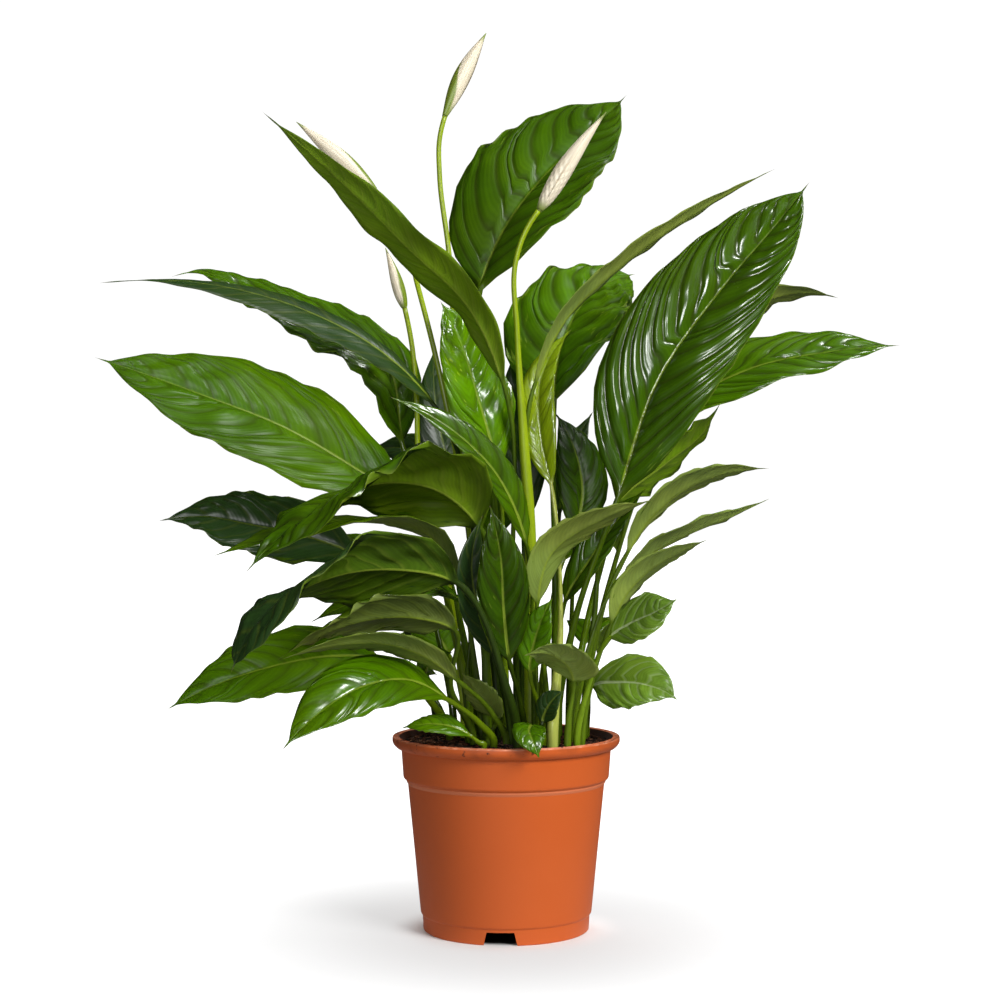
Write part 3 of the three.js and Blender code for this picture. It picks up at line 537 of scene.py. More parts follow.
TOP_FLESH = {
    Tone.DEEP: srgb(60, 95, 1), Tone.DARK: srgb(40, 68, 24), Tone.BRIGHT: srgb(71, 112, 1),
    Tone.OLIVE: srgb(64, 96, 2), Tone.PALE: srgb(122, 146, 14), Tone.YOUNG: srgb(88, 118, 36),
}
UNDER_FLESH = {
    Tone.DEEP: srgb(92, 122, 10), Tone.DARK: srgb(66, 94, 10), Tone.BRIGHT: srgb(110, 140, 16),
    Tone.OLIVE: srgb(116, 135, 60), Tone.PALE: srgb(142, 164, 34), Tone.YOUNG: srgb(116, 140, 50),
}
STALKS = {
    Tone.DEEP: srgb(76, 102, 6), Tone.DARK: srgb(46, 66, 8), Tone.BRIGHT: srgb(106, 132, 12),
    Tone.OLIVE: srgb(90, 116, 14), Tone.PALE: srgb(176, 186, 84), Tone.YOUNG: srgb(104, 132, 22),
}
VEIN_GREEN = srgb(140, 160, 50)
# Pale vein colour of young leaves: partly their own pale veins, partly a painted highlight along
# them.
PALE_VEIN_AND_SHEEN = srgb(196, 210, 160)
# Painted shade in the sunken side veins, and painted light and shade across the puffs, by tone.
PAINTED_VEIN_SHADOWS = {Tone.DEEP: 0.45, Tone.DARK: 0.2, Tone.YOUNG: 0.0}
PAINTED_PUFF_SHADING = {Tone.DEEP: 0.75, Tone.BRIGHT: 0.4}
SIDE_VEINS = {Tone.DARK: 0.14, Tone.YOUNG: 0.22}
LEAF_THROUGH = (2.2, 1.9, 0.8)
GLOSSY = Sheen(0.24, 0.36, 0.03)
SATIN = Sheen(0.38, 0.12)
DUSKY = Sheen(0.4, 0.3)
MATTE = Sheen(0.5, 0.22)


def blade_materials(tone: Tone, satin: bool) -> tuple[bpy.types.Material, bpy.types.Material]:
    """The upper and lower face of one kind of leaf.

    Args:
        tone: Its green.
        satin: Whether its upper face has a soft sheen rather than a gloss.

    Returns:
        The two materials.
    """
    flesh = TOP_FLESH[tone]
    behind = tuple(c * k for c, k in zip(flesh, LEAF_THROUGH))
    shared = {"stalk": STALKS[tone], "behind": behind}
    kind = f"satin_{tone.value}" if satin else tone.value
    sheen = SATIN if satin else GLOSSY
    top = BladeFinish(
        f"leaf_top_{kind}", flesh, vein=PALE_VEIN_AND_SHEEN if tone == Tone.YOUNG else VEIN_GREEN,
        sheen=DUSKY if tone == Tone.DARK else sheen, vein_share=SIDE_VEINS.get(tone, 0.06),
        painted_vein_shadow=PAINTED_VEIN_SHADOWS.get(tone, 0.3), painted_puff_shading=PAINTED_PUFF_SHADING.get(tone, 0.2), **shared,
    )
    low = BladeFinish(
        f"leaf_under_{kind}", UNDER_FLESH[tone], vein=VEIN_GREEN, sheen=MATTE,
        vein_share=0.2, painted_puff_shading=0.3, patchy=0.4, **shared,
    )
    return top.material(), low.material()


# ---------------------------------------------------------------- mesh helpers


def deselect() -> None:
    """Leaves nothing selected, so that an operator acts on the new piece alone."""
    if bpy.context.object and bpy.context.object.mode != "OBJECT":
        bpy.ops.object.mode_set(mode="OBJECT")
    bpy.ops.object.select_all(action="DESELECT")


def pick(piece: bpy.types.Object) -> None:
    """Makes a piece the only selected one."""
    deselect()
    piece.select_set(True)
    bpy.context.view_layer.objects.active = piece


def named(name: str) -> bpy.types.Object:
    """The object that was just added, under its own name."""
    piece = bpy.context.object
    piece.name = name
    piece.data.name = name
    return piece


def coordinates(piece: bpy.types.Object) -> np.ndarray:
    """All of a piece's vertices, in metres."""
    co = np.zeros(len(piece.data.vertices) * 3, np.float32)
    piece.data.vertices.foreach_get("co", co)
    return co.reshape(-1, 3).astype(float)


def move_to(piece: bpy.types.Object, points: np.ndarray) -> None:
    """Puts a piece's vertices at the given points, in metres."""
    piece.data.vertices.foreach_set("co", points.astype(np.float32).ravel())
    piece.data.update()


def apply(piece: bpy.types.Object, kind: str, **settings: object) -> None:
    """Adds a modifier and applies it.

    Args:
        piece: The mesh.
        kind: The modifier's type.
        settings: Its properties.
    """
    pick(piece)
    modifier = piece.modifiers.new(kind.lower(), kind)
    for key, value in settings.items():
        setattr(modifier, key, value)
    bpy.ops.object.modifier_apply(modifier=modifier.name)


def merge_doubles(piece: bpy.types.Object, distance: float = 2e-6) -> None:
    """Joins vertices that lie on one spot."""
    pick(piece)
    bpy.ops.object.mode_set(mode="EDIT")
    bpy.ops.mesh.select_all(action="SELECT")
    bpy.ops.mesh.remove_doubles(threshold=distance)
    bpy.ops.object.mode_set(mode="OBJECT")


def smooth(piece: bpy.types.Object, degrees: float = 180.0) -> bpy.types.Object:
    """Smooth shading, kept crisp at edges sharper than the angle. Returns the piece."""
    pick(piece)
    if degrees >= 180:
        bpy.ops.object.shade_smooth()
    else:
        bpy.ops.object.shade_smooth_by_angle(angle=math.radians(degrees))
    return piece


def dress(piece: bpy.types.Object, *materials: bpy.types.Material) -> bpy.types.Object:
    """Gives a piece its materials, in slot order, and returns it."""
    piece.data.materials.clear()
    for material in materials:
        piece.data.materials.append(material)
    return piece


def hand_over(piece: bpy.types.Object, node: str) -> None:
    """Rides a finished piece on the plant and lets it stand for its solid."""
    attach(piece, "root")
    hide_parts(node)
    LOG.info("%s: %d faces", piece.name, len(piece.data.polygons))


def write_attribute(piece: bpy.types.Object, name: str, values: np.ndarray) -> None:
    """Stores three numbers at each vertex."""
    made = piece.data.attributes.new(name, "FLOAT_VECTOR", "POINT")
    made.data.foreach_set("vector", values.astype(np.float32).ravel())


def sheet(name: str, columns: int, rows: int) -> tuple[bpy.types.Object, np.ndarray, np.ndarray]:
    """Adds a square grid to be wrapped round a line.

    Args:
        name: The piece's name.
        columns: Faces across.
        rows: Faces along.

    Returns:
        The grid and, for each vertex, its column and its row number.
    """
    deselect()
    bpy.ops.mesh.primitive_grid_add(x_subdivisions=columns, y_subdivisions=rows, size=1)
    piece = named(name)
    flat = coordinates(piece)
    column = np.rint((flat[:, 0] + 0.5) * columns).astype(int)
    row = np.rint((flat[:, 1] + 0.5) * rows).astype(int)
    assert len(flat) == (columns + 1) * (rows + 1)
    return piece, column, row


# --------------------------------------------------------------- growing lines


@dataclass
class GrowthLine:
    """A smooth line through points, measured along the straight pieces between them."""

    points: np.ndarray
    upright: bool = False
    marks: np.ndarray = field(init=False)
    slopes: np.ndarray = field(init=False)

    def __post_init__(self) -> None:
        """Works out the distances and the slope at each point."""
        steps = np.diff(self.points, axis=0)
        gaps = np.linalg.norm(steps, axis=1)
        chords = steps / gaps[:, None]
        self.marks = np.concatenate(([0.0], np.cumsum(gaps)))
        before, after = gaps[:-1, None], gaps[1:, None]
        inner = (chords[:-1] * after + chords[1:] * before) / (before + after)
        self.slopes = np.vstack((chords[:1], inner, 2 * chords[-1:] - inner[-1:]))
        if self.upright:
            self.slopes[1] = chords[0]

    @property
    def end(self) -> float:
        """The distance at the last point."""
        return float(self.marks[-1])

    def at(self, distance: np.ndarray) -> np.ndarray:
        """The points at the given distances."""
        before = np.searchsorted(self.marks, distance, side="right") - 1
        i = np.clip(before, 0, len(self.marks) - 2)
        span = (self.marks[i + 1] - self.marks[i])[:, None]
        t = (distance - self.marks[i])[:, None] / span
        place = self.points[i] * (1 + 2 * t) * (1 - t) ** 2
        place += self.slopes[i] * span * t * (1 - t) ** 2
        place += self.points[i + 1] * t * t * (3 - 2 * t)
        return place + self.slopes[i + 1] * span * t * t * (t - 1)

    def direction(self, distance: np.ndarray) -> np.ndarray:
        """Unit vectors along the line."""
        ahead = self.at(np.minimum(distance + 0.5, self.end))
        step = ahead - self.at(np.maximum(distance - 0.5, 0.0))
        return step / np.linalg.norm(step, axis=1)[:, None]

    def axes(self, distance: np.ndarray, face: np.ndarray) -> tuple[np.ndarray, np.ndarray]:
        """Unit vectors across the line and out of the face, square to the line."""
        along = self.direction(distance)
        out = face - along * np.sum(face * along, axis=1)[:, None]
        out /= np.linalg.norm(out, axis=1)[:, None]
        return np.cross(along, out), out

    def wrap(self, piece: bpy.types.Object, distance: np.ndarray, face: np.ndarray,
             x: np.ndarray, z: np.ndarray) -> None:
        """Puts a grid's points round the line.

        Args:
            piece: The grid.
            distance: How far along the line each of its points lies.
            face: The way that the form faces at each point.
            x: Each point's distance across the line.
            z: Each point's distance out of the face.
        """
        sideways, out = self.axes(distance, face)
        points = self.at(distance) + sideways * x[:, None] + out * z[:, None]
        move_to(piece, points * MM)


def rooted_line(foot: Sequence[float], via: Point | None, above: Sequence[Point]) -> GrowthLine:
    """The line of a leaf or flower: straight up out of the peat, then leaning over.

    Args:
        foot: Where it leaves the peat.
        via: A point that the stalk passes, or None for a plain bend.
        above: The points above the stalk.

    Returns:
        The line from the buried end to the tip.
    """
    x, y = foot
    next_x, next_y, next_z = above[0]
    bend = (x + LEAN * (next_x - x), y + LEAN * (next_y - y), (SOIL_LEVEL + next_z) / 2)
    low = [(x, y, SOIL_LEVEL - ROOTED), (x, y, SOIL_LEVEL + STRAIGHT_ABOVE), via or bend]
    return GrowthLine(np.array([*low, *above], float), upright=True)


# ---------------------------------------------------------------------- leaves


@dataclass
class Leaf:
    """One leaf on its own stalk, by the measures that its solid has.

    line runs from the foot of the blade to its tip, and via is a point that the stalk
    passes. faces are the ways its upper face looks at base and tip. shoulder is the
    share of the length where it is widest, and a larger tail draws the tip out. fold
    lifts both edges and curl drops them again. slender and sheath thin or thicken the
    stalk, all along and at its foot. wave is the height, number and start of ripples.
    puff, ruffle and pucker size the puffs between veins, the frill of the edge and the
    uneven blade. light makes the leaf lighter or darker, partly for its own green and
    partly as painted light and shade for how brightly it is lit. satin takes off its gloss.
    """

    name: str
    foot: tuple[float, float]
    line: list[Point]
    width: float
    faces: tuple[Point, Point]
    via: Point | None = None
    shoulder: float = 0.4
    tail: float = 1.15
    fold: float = 0.1
    curl: float = 0.0
    slender: float = 1.0
    sheath: float = 1.0
    wave: Point = (0.0, 0.0, 0.0)
    tone: Tone = Tone.DEEP
    puff: float = 1.0
    ruffle: float = 0.012
    pucker: float = 1.0
    light: float = 1.0
    satin: bool = False

    THICKNESS = 0.5
    CLOSED_AT = 0.96
    THREAD = 0.8
    STALK_ROWS = 26
    BASE_ROWS = 7
    ROWS_PER_VEIN = 8
    VEIN_GAP = 16.5
    VEIN_COUNTS = (7, 17)
    COLUMN_WIDTH = 6
    COLUMN_COUNTS = (6, 13)
    SWEEP = 0.85
    MOST_SWEEP = 0.28
    OPENED_AT = 0.07
    KNEE_AT = 0.93
    KNEE_LENGTH = 0.05
    KNEE_SWELL = 0.3
    ARCH = 0.07
    PUFF_DEPTH = 0.015
    PUFF_LIMITS = (0.35, 1.3)
    PUCKER_DEPTH = 0.0035
    RIPPLES = 4
    PUCKERS = 5

    def __post_init__(self) -> None:
        """Lays out the line and how many rows and columns the leaf takes."""
        self.path = rooted_line(self.foot, self.via, self.line)
        self.base = float(self.path.marks[3])
        self.length = self.path.end - self.base
        self.draw = random.Random(self.name)
        self.veins = int(np.clip(self.length / self.VEIN_GAP, *self.VEIN_COUNTS))
        columns = np.clip(self.width / self.COLUMN_WIDTH, *self.COLUMN_COUNTS)
        self.half_columns = int(columns)
        reach = min(self.SWEEP * self.width / self.length, self.MOST_SWEEP)
        self.sweep = -math.log2(0.5 + reach)
        self.ripples = [
            (self.draw.uniform(4, 12), self.phase(), self.phase()) for _ in range(self.RIPPLES)
        ]
        self.puckers = [
            (self.draw.uniform(3, 9), self.draw.uniform(-2.5, 2.5), self.phase())
            for _ in range(self.PUCKERS)
        ]
        self.uneven = [(self.veins / k, self.phase(), self.phase()) for k in (3.3, 5.1)]
        self.swell = np.array([self.draw.uniform(0.5, 1.2) for _ in range(2 * self.veins + 6)])

    def phase(self) -> float:
        """A random start for a wave."""
        return self.draw.uniform(0, 2 * math.pi)

    def half_width(self, t: np.ndarray) -> np.ndarray:
        """Half the blade's width at a share of its length, in millimetres."""
        low = np.sin(0.5 * np.pi * np.clip(t / self.shoulder, 0, 1)) ** 0.75
        past = np.clip((t - self.shoulder) / (self.CLOSED_AT - self.shoulder), 0, 1)
        high = (1 - past**2.3) ** self.tail
        thread = self.THREAD * ease(0.7, 0.9, t) * (1 - ease(self.CLOSED_AT, 1.0, t))
        return np.maximum(0.5 * self.width * np.where(t < self.shoulder, low, high), thread)

    def stalk_radius(self, u: np.ndarray) -> np.ndarray:
        """The stalk's radius at a share of the way from the peat to the blade."""
        thick, thin = 1.9 + 0.019 * self.width, 1.1 + 0.011 * self.width
        knee = 1 + self.KNEE_SWELL * np.exp(-(((u - self.KNEE_AT) / self.KNEE_LENGTH) ** 2))
        wide = lerp(self.sheath, 1.0, ease(0.1, 0.6, u))
        return self.slender * wide * knee * lerp(thick, thin, ease(0.0, 0.8, u))

    def relief(self, t: np.ndarray, c: np.ndarray, passed: np.ndarray) -> np.ndarray:
        """The puffs between the sunken side veins, in millimetres."""
        out = np.abs(c)
        puff = np.abs(np.sin(np.pi * passed)) ** 0.6
        number = np.floor(passed).astype(int) + np.where(c < 0, self.veins + 3, 0)
        size = np.clip(self.PUFF_DEPTH * self.width, *self.PUFF_LIMITS)
        depth = self.puff * size * self.swell[number]
        fade = ease(0.0, 0.12, out) * (1 - 0.75 * ease(0.72, 1.0, out))
        return depth * puff * fade * ease(0.02, 0.12, t) * (1 - ease(0.82, 0.98, t))

    def crumple(self, t: np.ndarray, c: np.ndarray) -> np.ndarray:
        """The blade's slow uneven rise and fall, in millimetres."""
        total = np.zeros_like(t)
        for along, across, phase in self.puckers:
            total += np.sin(2 * np.pi * (along * t + across * c) + phase)
        size = self.PUCKER_DEPTH * self.pucker * self.width
        level = ease(0.03, 0.3, np.abs(c))
        return size * total * level * ease(0.03, 0.15, t) * (1 - ease(0.85, 1, t))

    def rise(self, t: np.ndarray, c: np.ndarray, passed: np.ndarray) -> np.ndarray:
        """How far the blade's middle surface stands out from its rib."""
        out = np.abs(c)
        half = self.half_width(t)
        height, count, start = self.wave
        ripple = height * c * c * np.sin(2 * np.pi * count * t + start + 2 * np.sign(c))
        for turns, left, right in self.ripples:
            phase = np.where(c < 0, left, right)
            ripple += self.ruffle * self.width * out**3 * np.sin(2 * np.pi * turns * t + phase)
        arch = self.ARCH * half * np.sin(np.pi * out**0.8)
        bend = half * (self.fold * out - self.curl * c * c)
        ripple = ripple * half / (0.5 * self.width)
        return bend + arch + ripple + self.relief(t, c, passed) + self.crumple(t, c)

    def row_shares(self) -> np.ndarray:
        """How far along the midrib each row of the blade starts.

        Rows follow the side veins: a few open the base, then a fixed number to each
        vein, so that every sunken vein lies on a row.
        """
        first = (np.arange(1, self.BASE_ROWS + 1) / self.BASE_ROWS) ** 3 / self.veins
        steps = self.ROWS_PER_VEIN * (self.veins - 1)
        rest = (1 + np.arange(1, steps + 1) / self.ROWS_PER_VEIN) / self.veins
        return np.concatenate(([0.0], first, rest))

    def warp(self, v: np.ndarray, c: np.ndarray) -> np.ndarray:
        """Moves the side veins a little nearer to or farther from each other."""
        shift = np.zeros_like(v)
        for turns, right, left in self.uneven:
            phase = right + (left - right) * np.where(c < 0, ease(0.0, 0.3, -c), 0.0)
            shift += np.sin(2 * np.pi * turns * v + phase) * 0.06 / turns
        return np.clip(v + shift * ease(0.0, 0.15, v) * (1 - ease(0.85, 1.0, v)), 0.0, 1.0)

    def spread(self) -> np.ndarray:
        """How far out on the half width each point of a ring lies, right to left."""
        k = self.half_columns
        outward = (np.arange(k + 1) / k) ** 1.25
        return np.concatenate((outward[::-1], -outward[1:]))

    def build(self, top: bpy.types.Material, under: bpy.types.Material) -> bpy.types.Object:
        """Wraps a grid round the leaf's line.

        Args:
            top: The upper face's material.
            under: The lower face's material.

        Returns:
            The closed leaf with its stalk.
        """
        spread = self.spread()
        across = len(spread)
        blade = self.row_shares()
        rows = self.STALK_ROWS + len(blade) + 1
        piece, column, row = sheet(f"{self.name}_fine", 2 * across, rows)
        j = (2 * across - column) % (2 * across)
        side = np.where(j < across, 1.0, -1.0)
        c = spread[np.where(j < across, j, 2 * across - 1 - j)]
        turn = np.pi * (j + 0.5) / across

        # u runs up the stalk. Along the blade, v follows the midrib and t sweeps forward
        # with the side veins.
        on_blade = row > self.STALK_ROWS
        v = blade[np.clip(row - self.STALK_ROWS - 1, 0, len(blade) - 1)] * on_blade
        slant = 1 - (1 - self.sweep) * (0.55 * np.abs(c) + 0.45 * c * c)
        swept = np.power(np.maximum(self.warp(v, c), 1e-9), slant) * (v > 0)
        t = np.where(on_blade, swept, 0.0)
        ground = self.path.marks[1]
        u = np.clip((row - 1) / self.STALK_ROWS, 0, 1)
        on_stalk = ground + u * (self.base - ground)
        distance = np.where(on_blade, self.base + t * self.length, on_stalk)
        distance = np.where(row == 0, 0.0, distance)

        radius = self.stalk_radius(np.where(on_blade, 1.0, u)) * (1 - 0.6 * t)
        radius = np.where(row == 0, 0.0, radius)
        x, z = self.section(t, v, c, side, turn, radius)
        last = row == rows
        x, z = np.where(last, 0.0, x), np.where(last, 0.0, z)
        face = lerp(np.array(self.faces[0]), np.array(self.faces[1]), t[:, None])
        self.path.wrap(piece, distance, face, x, z)

        opened = ease(0.0, self.OPENED_AT, t)
        write_attribute(piece, "grow", np.column_stack((opened, t, np.abs(c))))
        # The leaf's light, partly its own green and partly painted light and shade for how brightly
        # it is lit.
        shade = np.full((len(t), 3), self.light * self.draw.uniform(0.92, 1.08))
        write_attribute(piece, "shade", shade)
        dress(piece, top, under)
        aside = np.abs(c) * self.half_width(t) * 0.1
        self.map_veins(piece, column, v * self.veins, aside, across)
        merge_doubles(piece)
        return smooth(piece)

    def section(self, t: np.ndarray, v: np.ndarray, c: np.ndarray, side: np.ndarray,
                turn: np.ndarray, radius: np.ndarray) -> tuple[np.ndarray, np.ndarray]:
        """Lays each point on the round stalk, on the flat blade or between the two.

        Args:
            t: The share of the blade's length.
            v: The share of it where the point's side vein leaves the midrib.
            c: The share of the half width, from 1 on the right to -1.
            side: 1 on the upper face and -1 on the lower.
            turn: The angle round the stalk.
            radius: The radius of the stalk or of the rib that carries it on.

        Returns:
            The distances across the line and out of the face, in millimetres.
        """
        half = self.half_width(t)
        passed = v * self.veins + np.where(c < 0, 0.5, 0.0)
        shrink = 1 - ease(0.7, 1.0, t) * 0.75
        rib = radius * 0.8 * (1 - t) * np.exp(-((c * half / (0.9 * radius + 0.5)) ** 2))
        sheet_half = self.THICKNESS / 2 * shrink * (1 - 0.45 * ease(0.8, 1.0, np.abs(c)))
        depth = sheet_half + np.where(side < 0, rib, -0.25 * rib * (c == 0))
        flat_x = c * np.maximum(half, radius * (1 - ease(0.1, 0.5, t)))
        flat_z = self.rise(t, c, passed) + side * depth
        opened = ease(0.0, self.OPENED_AT, t)
        x = lerp(radius * np.cos(turn), flat_x, opened)
        return x, lerp(radius * np.sin(turn), flat_z, opened)

    def map_veins(self, piece: bpy.types.Object, column: np.ndarray, passed: np.ndarray,
                  aside: np.ndarray, across: int) -> None:
        """Writes the UV map of veins and picks each face's material.

        Args:
            piece: The wrapped grid, before its seam is joined.
            column: Each vertex's column.
            passed: The side veins passed at each vertex.
            aside: Each vertex's distance from the midrib, in centimetres.
            across: Points on one face of a ring.
        """
        mesh = piece.data
        corners = np.zeros(len(mesh.loops), int)
        mesh.loops.foreach_get("vertex_index", corners)
        corner_columns = column[corners].reshape(-1, 4)
        first = 2 * across - corner_columns.max(axis=1)
        under = (first >= across).astype(int)
        middle = (across - 1) / 2
        place = np.where(under == 1, 2 * across - 2 - first, first)
        left = (place + 0.5 > middle).repeat(4)
        uv = np.column_stack((passed[corners] + np.where(left, 0.5, 0.0), aside[corners]))
        layer = mesh.uv_layers.new(name="veins")
        layer.data.foreach_set("uv", uv.astype(np.float32).ravel())
        mesh.polygons.foreach_set("material_index", under.astype(np.int32))


